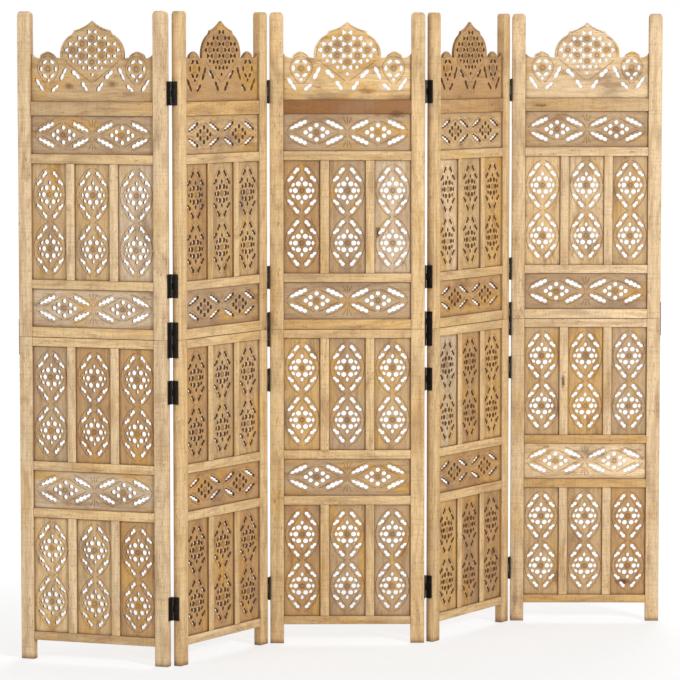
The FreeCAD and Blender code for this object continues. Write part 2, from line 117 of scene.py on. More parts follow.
class Tone(Enum):
    """Natural tones of the timber, from which each piece takes one."""

    CREAM = linear(246, 218, 174)
    PALE = linear(232, 204, 162)
    STRAW = linear(229, 197, 147)
    TAN = linear(206, 175, 130)
    HONEY = linear(216, 177, 118)
    ASH = linear(208, 186, 155)
    DRAB = linear(190, 163, 128)
    BROWN = linear(192, 154, 107)
    UMBER = linear(151, 105, 62)


class Row(Enum):
    """What fills the opening between two rails."""

    FRETS = "frets"
    BAND = "band"


class Grain(Enum):
    """Axes of a panel in the order along the grain, across it and through it."""

    UPRIGHT = (2, 0, 1)
    LEVEL = (0, 2, 1)


class Cut(Enum):
    """Outlines of the holes that are cut through the boards."""

    ROUND = "round"
    LOBED = "lobed"
    CLOVER = "clover"


class Part(Enum):
    """Dressed parts of a panel, each with a number of its own for its seed."""

    LOWER_POSTS = 0
    UPPER_POSTS = 1
    RAILS = 2
    MUNTINS = 3
    FRETS = 5
    BANDS = 6
    CROWN = 7


@dataclass(frozen=True)
class ScreenSizes:
    """Sizes that the frames, the boards and the hinges share, in metres."""

    panel_width: float = 0.404
    panel_height: float = 1.65
    post_width: float = 0.036
    post_depth: float = 0.020
    post_top_run: float = 0.009
    post_top_rise: float = 0.012
    leg_height: float = 0.050
    lower_rails: tuple[float, ...] = (0.022, 0.024, 0.023, 0.023)
    upper_rails: tuple[float, ...] = (0.026, 0.023, 0.024, 0.035)
    lower_rows: tuple[Row, ...] = (Row.FRETS, Row.BAND, Row.FRETS)
    upper_rows: tuple[Row, ...] = (Row.BAND, Row.FRETS, Row.BAND)
    fret_height_share: float = 0.1782
    band_height_share: float = 0.0588
    crown_height_share: float = 0.123
    rail_depth: float = 0.019
    seam_setback: float = 0.0005
    muntin_width: float = 0.023
    muntin_depth: float = 0.018
    frets_in_row: int = 3
    board_thickness: float = 0.008
    tongue: float = 0.0058

    @property
    def opening_width(self) -> float:
        """Clear width between a panel's posts."""
        return self.panel_width - 2 * self.post_width

    @property
    def fret_width(self) -> float:
        """Clear width of one fret's opening."""
        return (self.opening_width - (self.frets_in_row - 1) * self.muntin_width) / self.frets_in_row

    @property
    def crown_height(self) -> float:
        """Height of the crown board above the top rail."""
        return self.crown_height_share * self.panel_height

    def row_height(self, row: Row) -> float:
        """Height of an opening, by what fills it."""
        share = self.fret_height_share if row is Row.FRETS else self.band_height_share
        return share * self.panel_height

    def stack(self, level: float, rails: tuple[float, ...],
              rows: tuple[Row, ...]) -> tuple[list[Pair], list[tuple[Row, float]], float]:
        """Stacks one half of a panel.

        Args:
            level: Height at which the half's first rail starts.
            rails: Heights of its rails, from below.
            rows: What fills the openings between them.

        Returns:
            Rails as (bottom, top), rows as (row, bottom), and the level reached.
        """
        rail_levels, row_levels = [], []
        for index, rail in enumerate(rails):
            rail_levels.append((level, level + rail))
            level += rail
            if index < len(rows):
                row_levels.append((rows[index], level))
                level += self.row_height(rows[index])
        return rail_levels, row_levels, level

    @property
    def seam(self) -> float:
        """Height of the seam between the lower and the upper frame."""
        return self.stack(self.leg_height, self.lower_rails, self.lower_rows)[2]

    @property
    def crown_base(self) -> float:
        """Height of the top rail's upper edge."""
        return self.stack(self.seam, self.upper_rails, self.upper_rows)[2]

    def rail_levels(self) -> list[Pair]:
        """Lists the rails from below, set back a little from the seam.

        Returns:
            Visible bottom and top of each rail.
        """
        lower = self.stack(self.leg_height, self.lower_rails, self.lower_rows)[0]
        upper = self.stack(self.seam, self.upper_rails, self.upper_rows)[0]
        lower[-1] = (lower[-1][0], lower[-1][1] - self.seam_setback)
        upper[0] = (upper[0][0] + self.seam_setback, upper[0][1])
        return lower + upper

    def row_levels(self) -> list[tuple[Row, float]]:
        """What fills each opening and where that opening starts, from below."""
        lower = self.stack(self.leg_height, self.lower_rails, self.lower_rows)[1]
        return lower + self.stack(self.seam, self.upper_rails, self.upper_rows)[1]


@dataclass(frozen=True)
class PanelTones:
    """Tones of one panel's pieces, as they look in the timber of the real one.

    Attributes:
        posts: Tone of the posts and muntins.
        rails: Tones of the rails from below.
        frets: Tones of the fret rows from below, each from left to right.
        bands: Tones of the bands from below.
    """

    posts: Tone
    rails: tuple[Tone, ...]
    frets: tuple[tuple[Tone, Tone, Tone], ...]
    bands: tuple[Tone, Tone, Tone]
    crown: Tone


# The tones by their first letters, for the panels below.
C, P, S, T, H, A, D, B, U = Tone
PANEL_TONES = (
    PanelTones(P, (T, S, S, S, S, S, S, T), ((S, T, B), (D, B, B), (T, T, A)), (A, A, D), T),
    PanelTones(S, (P, S, S, S, S, S, S, H), ((B, B, B), (B, T, T), (B, T, T)), (B, D, T), B),
    PanelTones(S, (T, S, S, S, H, S, S, U), ((B, D, D), (H, D, T), (B, D, A)), (D, D, D), S),
    PanelTones(S, (S, S, S, S, S, S, S, B), ((H, B, B), (A, B, H), (P, T, H)), (B, B, T), B),
    PanelTones(P, (H, H, H, C, C, P, P, T), ((T, T, B), (T, H, D), (S, P, T)), (C, D, D), P),
)


@dataclass(frozen=True)
class Knot:
    """A dark knot or crack in one board or post of a panel.

    Attributes:
        across: Distance from the panel's left edge.
        height: Height above the floor.
        shade: How dark it is, 0 to 1.
        inward: Depth of the face that shows it, behind the front of the posts.
    """

    panel: int
    across: float
    height: float
    half_width: float
    half_height: float
    shade: float
    inward: float = 0.006


KNOTS = (
    Knot(3, 0.281, 1.080, 0.009, 0.018, 1.0),
    Knot(3, 0.330, 1.386, 0.028, 0.011, 0.8),
    Knot(1, 0.139, 1.462, 0.014, 0.010, 0.75),
    Knot(1, 0.257, 1.468, 0.016, 0.010, 0.65),
    Knot(5, 0.141, 0.655, 0.006, 0.026, 0.9, 0.001),
    Knot(5, 0.307, 0.107, 0.026, 0.009, 1.0),
    Knot(5, 0.075, 1.404, 0.024, 0.006, 0.7, 0.0005),
    Knot(2, 0.160, 0.300, 0.014, 0.018, 0.6),
    Knot(4, 0.330, 0.200, 0.016, 0.016, 0.8),
)


@dataclass(frozen=True)
class PanelPlace:
    """Where one panel stands: its left front foot and its direction on the floor."""

    foot: np.ndarray
    along: np.ndarray

    @classmethod
    def of_posts(cls, node: Object) -> "PanelPlace":
        """Reads a panel's place from the feet of its posts.

        Args:
            node: The panel's lower posts in the frame.

        Returns:
            The place.
        """
        touch = 1e-4
        decimals = 5
        points = np.array([v.co for v in node.data.vertices if v.co.z < touch])[:, :2]
        middle = (points[:, 0].min() + points[:, 0].max()) / 2
        left, right = [np.unique(points[side].round(decimals), axis=0).mean(axis=0)
                       for side in (points[:, 0] < middle, points[:, 0] >= middle)]
        along = (right - left) / np.linalg.norm(right - left)
        inward = np.array((-along[1], along[0]))
        foot = along * (points @ along).min() + inward * (points @ inward).min()
        return cls(foot, along)

    def to_row(self, points: np.ndarray) -> np.ndarray:
        """Turns points of the panel into points of the whole screen.

        Args:
            points: Points as (across, inwards, up).

        Returns:
            Points as (x, y, z).
        """
        inward = np.array((-self.along[1], self.along[0]))
        ground = self.foot + points[:, :1] * self.along + points[:, 1:2] * inward
        return np.hstack((ground, points[:, 2:3]))

    def point(self, across: float, inward: float, height: float) -> Vector:
        """A point of the panel, in the whole screen."""
        return Vector(self.to_row(np.array(((across, inward, height),)))[0])


class Nodes:
    """A node tree, with short ways to add nodes and to feed their inputs."""

    def __init__(self, tree: bpy.types.NodeTree) -> None:
        """Takes a tree over and empties it."""
        self.tree = tree
        self.tree.nodes.clear()

    def feed(self, target: Socket, value: object) -> None:
        """Feeds an input.

        Args:
            target: The input.
            value: Socket that is linked to it, or its value; a colour is opaque.
        """
        if isinstance(value, Socket):
            self.tree.links.new(value, target)
        elif target.type == "RGBA":
            target.default_value = (*value, 1.0)
        else:
            target.default_value = value

    def add(self, kind: str, inputs: Inputs | None = None, **settings: object) -> Node:
        """Adds a node.

        Args:
            kind: Type of the node.
            inputs: Sockets or values that feed its inputs, by name or number.
            settings: Its properties, which are set first.

        Returns:
            The node.
        """
        node = self.tree.nodes.new(kind)
        for key, value in settings.items():
            setattr(node, key, value)
        for key, value in (inputs or {}).items():
            self.feed(node.inputs[key], value)
        return node

    def math(self, operation: str, *values: Socket | float) -> Socket:
        """Adds a math node and returns its value."""
        return self.add("ShaderNodeMath", dict(enumerate(values)), operation=operation).outputs["Value"]

    def spread(self, value: Socket, source: Pair, target: Pair) -> Socket:
        """Maps a value from one range to another, smoothly and within limits.

        Args:
            value: The value.
            source: Its range.
            target: Range that it is mapped to.

        Returns:
            The mapped value.
        """
        limits = dict(zip(("From Min", "From Max", "To Min", "To Max"), (*source, *target)))
        node = self.add("ShaderNodeMapRange", {"Value": value, **limits}, interpolation_type="SMOOTHSTEP")
        return node.outputs["Result"]

    def length(self, vector: Socket) -> Socket:
        """Returns the length of a vector."""
        return self.add("ShaderNodeVectorMath", {"Vector": vector}, operation="LENGTH").outputs["Value"]

    def place(self) -> Socket:
        """Returns the place of a point on the object."""
        return self.add("ShaderNodeTexCoord").outputs["Object"]


@dataclass(frozen=True)
class Mark:
    """A noise that marks a surface.

    Attributes:
        stretch: Features per metre on each axis, on timber along, across and through the grain.
        detail: Octaves.
        roughness: Strength of the finer octaves.
        reach: Values of the noise at which the mark starts and is full.
    """

    stretch: Point
    detail: float
    roughness: float
    reach: Pair = (0.0, 1.0)


class Shader(Nodes):
    """A material's nodes, which end in a Principled shader."""

    def __init__(self, name: str) -> None:
        """Makes a material with a Principled shader at its output.

        Args:
            name: Name of the material.
        """
        self.material = bpy.data.materials.new(name)
        self.material.use_nodes = True
        super().__init__(self.material.node_tree)
        self.surface = self.add("ShaderNodeBsdfPrincipled")
        self.add("ShaderNodeOutputMaterial", {"Surface": self.surface.outputs["BSDF"]})

    def noise(self, vector: Socket, mark: Mark) -> Socket:
        """Adds the noise of a mark.

        Args:
            vector: Coordinates.
            mark: The mark.

        Returns:
            Value of the noise.
        """
        stretched = self.add("ShaderNodeMapping", {"Vector": vector, "Scale": mark.stretch}).outputs["Vector"]
        texture = self.add("ShaderNodeTexNoise", {
            "Vector": stretched, "Scale": 1.0, "Detail": mark.detail, "Roughness": mark.roughness})
        return texture.outputs["Fac"]

    def mask(self, noise: Socket, mark: Mark, strength: float) -> Socket:
        """Returns how far a mark covers the surface, up to a strength."""
        return self.spread(noise, mark.reach, (0.0, strength))

    def blend(self, factor: Socket, first: Socket | Colour, second: Colour) -> Socket:
        """Mixes one colour over another.

        Args:
            factor: How far the second colour covers the first.
            first: Lower colour.
            second: Upper colour.

        Returns:
            The mixed colour.
        """
        node = self.add("ShaderNodeMix", {"Factor": factor}, data_type="RGBA")
        colours = [socket for socket in node.inputs if socket.type == "RGBA"]
        for target, colour in zip(colours, (first, second)):
            self.feed(target, colour)
        return next(socket for socket in node.outputs if socket.type == "RGBA")

    def finish(self, height: Socket, rise: float, strength: float, inputs: Inputs) -> Material:
        """Ends the material.

        Args:
            height: Relief of the surface, 0 to 1.
            rise: Height of the full relief in metres.
            strength: How far the relief turns the light, 0 to 1.
            inputs: Sockets or values that feed the Principled shader.

        Returns:
            The material.
        """
        bump = self.add("ShaderNodeBump", {"Height": height, "Distance": rise, "Strength": strength})
        for key, value in {"Normal": bump.outputs["Normal"], **inputs}.items():
            self.feed(self.surface.inputs[key], value)
        return self.material


@dataclass(frozen=True)
class Timber:
    """Waxed natural hardwood whose grain and tone come from each piece's own attributes; the tone carries
    painted shade.

    A piece without those attributes, such as a dowel, has one tone and its grain upright.

    Attributes:
        streak: How far the broad streaks and the fibres darken the tone, 0 to 1.
        fleck: How dark the pores and the pits are, 0 to 1.
        patch: How far golden, grey and brown patches change the tone, 0 to 1.
        saw: How far saw marks across the grain darken the tone, 0 to 1.
        knot: How dark the scattered knots are, 0 to 1.
        spots: Single knots and their places in the whole screen.
        shade_and_dirt: How far painted shade and dirt darken the corners and the holes, 0 to 1.
        shade_and_dirt_reach: Distance over which a corner gathers painted shade and dirt, in metres.
        corner_reach: Openness of a corner at which its painted shade and dirt are full and at which they end.
        corner_samples: Rays that look for corners.
        gloss: Specular level of the wax.
        fibre_rise: Height of the fibres in metres.
        fibre_strength: How far the fibres turn the light, 0 to 1.
        plain_tone: Tone of a piece that has no attributes.
        clouds: Noise of the golden patches.
        greys: Noise of the grey patches.
        stains: Noise of the brown patches.
        waver: Noise by which the year rings waver.
        ragged: Noise of the single knots' edges.
        knot_stretch: Places per metre where a knot may lie, along, across and through the grain.
        knot_chance: Chance values between which such a place starts to have a knot.
        heart_reach: Distances, as shares of a place, over which a knot's dark heart ends.
        halo_reach: Distances, as shares of a place, over which a knot's halo ends.
        spot_reach: Distances, as shares of its size, over which a single knot ends.
        ragged_share: How far a single knot's edge is ragged, as a share of its size.
        ring_turn: Year rings across the grain, in radians per metre.
        ring_waver: How far the rings waver, in radians.
        ring_reach: Heights of the rings' wave between which a ring darkens.
        ring_grey_reach: Values of the grey patches between which the rings grow darker.
        ring_shade: How dark the rings are outside and inside the grey patches.
        pore_stain_reach: Values of the brown patches between which the pores grow darker.
        pore_shade: Shares of their darkness that pores have outside and inside the brown patches.
    """

    name: str
    streak: float = 0.4
    fleck: float = 0.5
    patch: float = 0.42
    saw: float = 0.15
    knot: float = 0.75
    spots: tuple[tuple[Knot, Vector], ...] = ()
    # Painted shade and dirt in corners and holes, found by ambient occlusion.
    shade_and_dirt: float = 0.74
    shade_and_dirt_reach: float = 0.018
    corner_reach: Pair = (0.36, 0.96)
    corner_samples: int = 8
    roughness: float = 0.6
    gloss: float = 0.25
    fibre_rise: float = 0.0004
    fibre_strength: float = 0.35
    plain_tone: Tone | None = None
    gold: Colour = linear(208, 162, 82)
    drab: Colour = linear(152, 130, 106)
    brown: Colour = linear(146, 102, 62)
    # Dark colour of the pores, also used for the painted shade in corners and holes.
    pore_and_shade: Colour = linear(104, 70, 44)
    clouds: Mark = Mark((5.0, 17.0, 17.0), 3.0, 0.6, (0.5, 0.72))
    greys: Mark = Mark((7.0, 15.0, 15.0), 3.0, 0.6, (0.52, 0.74))
    stains: Mark = Mark((13.0, 30.0, 30.0), 4.0, 0.65, (0.54, 0.76))
    streaks: Mark = Mark((3.5, 75.0, 75.0), 5.0, 0.62, (0.44, 0.74))
    fibres: Mark = Mark((25.0, 520.0, 520.0), 3.0, 0.6, (0.42, 0.75))
    saw_marks: Mark = Mark((230.0, 8.0, 8.0), 2.0, 0.5, (0.5, 0.7))
    pores: Mark = Mark((120.0, 640.0, 640.0), 1.0, 0.4, (0.6, 0.7))
    pits: Mark = Mark((55.0, 260.0, 260.0), 2.0, 0.5, (0.62, 0.74))
    waver: Mark = Mark((2.6, 9.0, 9.0), 2.0, 0.5)
    ragged: Mark = Mark((160.0, 160.0, 160.0), 3.0, 0.6)
    knot_stretch: Point = (4.0, 11.0, 3.0)
    knot_chance: Pair = (0.72, 0.74)
    heart_reach: Pair = (0.03, 0.09)
    halo_reach: Pair = (0.08, 0.34)
    spot_reach: Pair = (0.9, 1.9)
    ragged_share: float = 1.4
    ring_turn: float = 190.0
    ring_waver: float = 42.0
    ring_reach: Pair = (-0.2, 1.0)
    ring_grey_reach: Pair = (0.3, 0.6)
    ring_shade: Pair = (0.05, 0.24)
    pore_stain_reach: Pair = (0.38, 0.6)
    pore_shade: Pair = (0.15, 1.0)

    def coordinates(self, shader: Shader) -> tuple[Socket, Socket | Colour]:
        """Adds what the grain and the tone are read from.

        Args:
            shader: Shader that gets the nodes.

        Returns:
            Coordinates along, across and through the grain, and the tone.
        """
        if not self.plain_tone:
            grain = shader.add("ShaderNodeAttribute", attribute_name="grain")
            tone = shader.add("ShaderNodeAttribute", attribute_name="tone")
            return grain.outputs["Vector"], tone.outputs["Color"]
        parts = shader.add("ShaderNodeSeparateXYZ", {"Vector": shader.place()}).outputs
        upright = shader.add("ShaderNodeCombineXYZ", {"X": parts["Z"], "Y": parts["X"], "Z": parts["Y"]})
        return upright.outputs["Vector"], self.plain_tone.value

    def knots(self, shader: Shader, grain: Socket) -> tuple[Socket, Socket]:
        """Adds sparse knots.

        Args:
            shader: Shader that gets the nodes.
            grain: Coordinates of the grain.

        Returns:
            Mask of their dark hearts and mask of the brown halos round them.
        """
        places = shader.add("ShaderNodeMapping", {"Vector": grain, "Scale": self.knot_stretch})
        cells = shader.add("ShaderNodeTexVoronoi", {"Vector": places.outputs["Vector"], "Scale": 1.0})
        chance = shader.add("ShaderNodeSeparateColor", {"Color": cells.outputs["Color"]}).outputs["Red"]
        few = shader.spread(chance, self.knot_chance, (0.0, 1.0))
        heart, halo = [shader.spread(cells.outputs["Distance"], reach, (1.0, 0.0))
                       for reach in (self.heart_reach, self.halo_reach)]
        return shader.math("MULTIPLY", few, heart), shader.math("MULTIPLY", few, halo)

    def single_knots(self, shader: Shader) -> Socket:
        """Adds the single knots at their places, each with a ragged edge.

        Args:
            shader: Shader that gets the nodes.

        Returns:
            Mask of the knots.
        """
        place = shader.place()
        ragged = shader.math("MULTIPLY", shader.noise(place, self.ragged), self.ragged_share)
        total = None
        for knot, middle in self.spots:
            size = (knot.half_width, knot.half_width, knot.half_height)
            shares = shader.add("ShaderNodeMapping", {"Vector": place, "Location": middle, "Scale": size},
                                vector_type="TEXTURE")
            edge = shader.math("ADD", shader.length(shares.outputs["Vector"]), ragged)
            mask = shader.spread(edge, self.spot_reach, (knot.shade, 0.0))
            total = shader.math("MAXIMUM", mask, total) if total else mask
        return total

    def rings(self, shader: Shader, grain: Socket, greys: Socket) -> Socket:
        """Adds the year rings, drawn out along the grain and wavering, which show most in grey patches.

        Args:
            shader: Shader that gets the nodes.
            grain: Coordinates of the grain.
            greys: Noise of the grey patches.

        Returns:
            Mask of the rings.
        """
        across = shader.add("ShaderNodeSeparateXYZ", {"Vector": grain}).outputs["Y"]
        waver = shader.math("MULTIPLY", shader.noise(grain, self.waver), self.ring_waver)
        wave = shader.math("SINE", shader.math("ADD", shader.math("MULTIPLY", across, self.ring_turn), waver))
        shade = shader.spread(greys, self.ring_grey_reach, self.ring_shade)
        return shader.math("MULTIPLY", shader.spread(wave, self.ring_reach, (0.0, 1.0)), shade)

    def corner_shade_and_dirt(self, shader: Shader) -> Socket:
        """Adds painted shade and dirt in corners and holes.

        Args:
            shader: Shader that gets the nodes.

        Returns:
            Mask of the painted shade and dirt.
        """
        # Painted shade, with some dirt: darker where ambient occlusion finds the surface closed in.
        corners = shader.add("ShaderNodeAmbientOcclusion", {"Distance": self.shade_and_dirt_reach},
                             samples=self.corner_samples)
        return shader.spread(corners.outputs["AO"], self.corner_reach, (self.shade_and_dirt, 0.0))

    def material(self) -> Material:
        """Builds the material.

        Returns:
            The material.
        """
        shader = Shader(self.name)
        grain, colour = self.coordinates(shader)
        patches = ((self.clouds, self.patch, self.gold), (self.greys, self.patch, self.drab),
                   (self.stains, self.patch, self.brown))
        lines = ((self.streaks, self.streak, self.brown), (self.fibres, self.streak, self.brown),
                 (self.saw_marks, self.saw, self.pore_and_shade))
        noises = {mark: shader.noise(grain, mark) for mark, _, _ in patches + lines}
        heart, halo = self.knots(shader, grain)
        pores = shader.math("MULTIPLY", shader.mask(shader.noise(grain, self.pores), self.pores, self.fleck),
                            shader.spread(noises[self.stains], self.pore_stain_reach, self.pore_shade))
        pits = shader.mask(shader.noise(grain, self.pits), self.pits, self.fleck)
        layers = [(shader.mask(noises[mark], mark, strength), stain) for mark, strength, stain in patches]
        layers.append((self.rings(shader, grain, noises[self.greys]), self.brown))
        layers += [(shader.mask(noises[mark], mark, strength), stain) for mark, strength, stain in lines]
        layers.append((shader.math("MULTIPLY", halo, self.knot / 2), self.brown))
        layers += [(mask, self.pore_and_shade) for mask in (shader.math("MULTIPLY", heart, self.knot), pores, pits)]
        if self.spots:
            layers.append((self.single_knots(shader), self.pore_and_shade))
        # Painted shade and dirt in corners and holes, in the dark pore colour.
        layers.append((self.corner_shade_and_dirt(shader), self.pore_and_shade))
        for cover, stain in layers:
            colour = shader.blend(cover, colour, stain)
        relief = shader.math("SUBTRACT", noises[self.fibres], pores)
        return shader.finish(relief, self.fibre_rise, self.fibre_strength, {
            "Base Color": colour, "Roughness": self.roughness, "Specular IOR Level": self.gloss})


@dataclass(frozen=True)
class BlackPaint:
    """Satin black paint on the hinges, plates and screws, dulled in patches and slightly pebbled.

    Attributes:
        dull_reach: Values of the patches' noise between which the paint grows rough.
        roughness: Roughness of clean and of dulled paint.
        gloss: Specular level of the paint.
        pebble_rise: Height of the pebbles in metres.
        pebble_strength: How far the pebbles turn the light, 0 to 1.
    """

    name: str = "black_paint"
    colour: Colour = (0.010, 0.006, 0.003)
    dulled: Colour = (0.026, 0.016, 0.009)
    patches: Mark = Mark((140.0, 140.0, 90.0), 4.0, 0.65, (0.45, 0.75))
    dull_reach: Pair = (0.3, 0.7)
    roughness: Pair = (0.28, 0.5)
    gloss: float = 0.3
    pebbles: Mark = Mark((1600.0, 1600.0, 1600.0), 2.0, 0.5)
    pebble_rise: float = 0.00006
    pebble_strength: float = 0.5

    def material(self) -> Material:
        """Builds the material.

        Returns:
            The material.
        """
        shader = Shader(self.name)
        place = shader.place()
        patches = shader.noise(place, self.patches)
        pebbles = shader.noise(place, self.pebbles)
        return shader.finish(pebbles, self.pebble_rise, self.pebble_strength, {
            "Base Color": shader.blend(shader.mask(patches, self.patches, 1.0), self.colour, self.dulled),
            "Roughness": shader.spread(patches, self.dull_reach, self.roughness),
            "Specular IOR Level": self.gloss})


def placed(name: str, data: ID) -> Object:
    """Makes an object of its data and puts it in the scene.

    Args:
        name: Name of the object.
        data: Its mesh, lamp or camera.

    Returns:
        The object.
    """
    made = bpy.data.objects.new(name, data)
    bpy.context.scene.collection.objects.link(made)
    return made


def plain_mesh(name: str, points: list[Point], faces: Faces) -> Mesh:
    """Makes a mesh of points and faces.

    Args:
        name: Name of the mesh.
        points: Its points.
        faces: Its faces, by their points.

    Returns:
        The mesh.
    """
    mesh = bpy.data.meshes.new(name)
    mesh.from_pydata(points, [], faces)
    return mesh


class PieceMesh:
    """Gathers the pieces of one part of a panel into one mesh, each with its own grain and tone."""

    seeds_per_panel = 10
    grain_reach = 40.0
    tone_spread = 0.05
    # Share of red, green and blue that full painted shade takes from the tone.
    shade_loss = np.array((0.55, 0.64, 0.72))
    sharp_angle = math.radians(40)

    def __init__(self, place: PanelPlace, number: int, part: Part) -> None:
        """Starts an empty mesh, with a fixed seed for the grain.

        Args:
            place: Where the panel stands.
            number: Number of the panel.
            part: Part of the panel.
        """
        self.place = place
        self.body = "panel_%d" % number
        self.node = "%s_%s" % (self.body, part.name.lower())
        self.chance = random.Random(number * self.seeds_per_panel + part.value)
        self.points: list[np.ndarray] = []
        self.faces: Faces = []
        self.grain: list[np.ndarray] = []
        self.tones: list[np.ndarray] = []
        self.count = 0

    def add(self, piece: Board, grain: Grain, tone: Tone) -> None:
        """Adds a piece.

        Args:
            piece: Its points in the panel, its faces by its own points, and the painted shade at each corner
                of each face, 0 to 1.
            grain: Direction of its grain.
            tone: Its tone, which is varied a little.
        """
        points, faces, painted_shades = piece
        offset = np.array([self.chance.uniform(0, self.grain_reach) for _ in range(3)])
        shade = 1 + self.chance.uniform(-self.tone_spread, self.tone_spread)
        self.points.append(points)
        self.grain.append(points[:, list(grain.value)] + offset)
        # Painted shade darkens the tone at each corner; the tone attribute carries it to the material.
        tones = np.array(tone.value) * shade * (1 - painted_shades[:, None] * self.shade_loss)
        self.tones.append(np.hstack((tones, np.ones((len(painted_shades), 1)))))
        self.faces += [tuple(index + self.count for index in face) for face in faces]
        self.count += len(points)

    def finish(self, work: str, slot: str, material: Material) -> None:
        """Makes the object and hands it to the frame.

        Args:
            work: Kind of work, which ends the object's name.
            slot: Material slot of the record; not used.
            material: Its finish.
        """
        name = "%s_%s" % (self.node, work)
        mesh = plain_mesh(name, self.place.to_row(np.vstack(self.points)).tolist(), self.faces)
        grain = mesh.attributes.new("grain", "FLOAT_VECTOR", "POINT")
        grain.data.foreach_set("vector", np.vstack(self.grain).astype(np.float32).ravel())
        tone = mesh.attributes.new("tone", "FLOAT_COLOR", "CORNER")
        tone.data.foreach_set("color", np.vstack(self.tones).astype(np.float32).ravel())
        mesh.materials.append(material)
        mesh.set_sharp_from_angle(angle=self.sharp_angle)
        piece = placed(name, mesh)
        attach(piece, self.body)
        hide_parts(self.node)
        LOG.info("%s: %d faces", name, len(mesh.polygons))


def rounded_solid(outline: list[Pair], front: float, back: float, edge: float, inner_sides: Sides) -> Board:
    """Makes a solid from an outline in the front plane, with its sharp edges rounded and given painted shade.

    Args:
        outline: Points (across, up), in turn.
        front: Depth of the front face.
        back: Depth of the back face.
        edge: Radius of the edges.
        inner_sides: Directions of the sides that meet the boards, and the painted shade on those sides.

    Returns:
        Its points, its faces, and the painted shade at each corner of each face.
    """
    sharp = math.radians(30)
    # Painted shade on the rounded edges, which darkens the lines where timbers meet.
    edge_shade = 0.32

    def hollow(side: bmesh.types.BMFace) -> float:
        """Tells how much painted shade a face gets.

        Args:
            side: The face.

        Returns:
            Its painted shade, 0 to 1.
        """
        if side in edge_faces:
            return edge_shade
        met = [dark for way, dark in inner_sides.items() if side.normal.angle(Vector(way)) < sharp]
        return max(met, default=0.0)

    shape = bmesh.new()
    face = shape.faces.new([shape.verts.new((x, front, z)) for x, z in outline])
    sweep = bmesh.ops.extrude_face_region(shape, geom=[face])
    moved = [item for item in sweep["geom"] if isinstance(item, bmesh.types.BMVert)]
    bmesh.ops.translate(shape, verts=moved, vec=(0, back - front, 0))
    bmesh.ops.recalc_face_normals(shape, faces=shape.faces)
    edges = [line for line in shape.edges if line.calc_face_angle(0) > sharp]
    bevel = bmesh.ops.bevel(shape, geom=edges, offset=edge, segments=2, affect="EDGES", profile=0.5)
    edge_faces = set(bevel["faces"])
    shape.verts.index_update()
    points = np.array([v.co for v in shape.verts])
    faces = [tuple(v.index for v in f.verts) for f in shape.faces]
    # Painted shade at each corner of each face.
    painted_shades = [dark for f in shape.faces for dark in [hollow(f)] * len(f.verts)]
    shape.free()
    return points, faces, np.array(painted_shades)


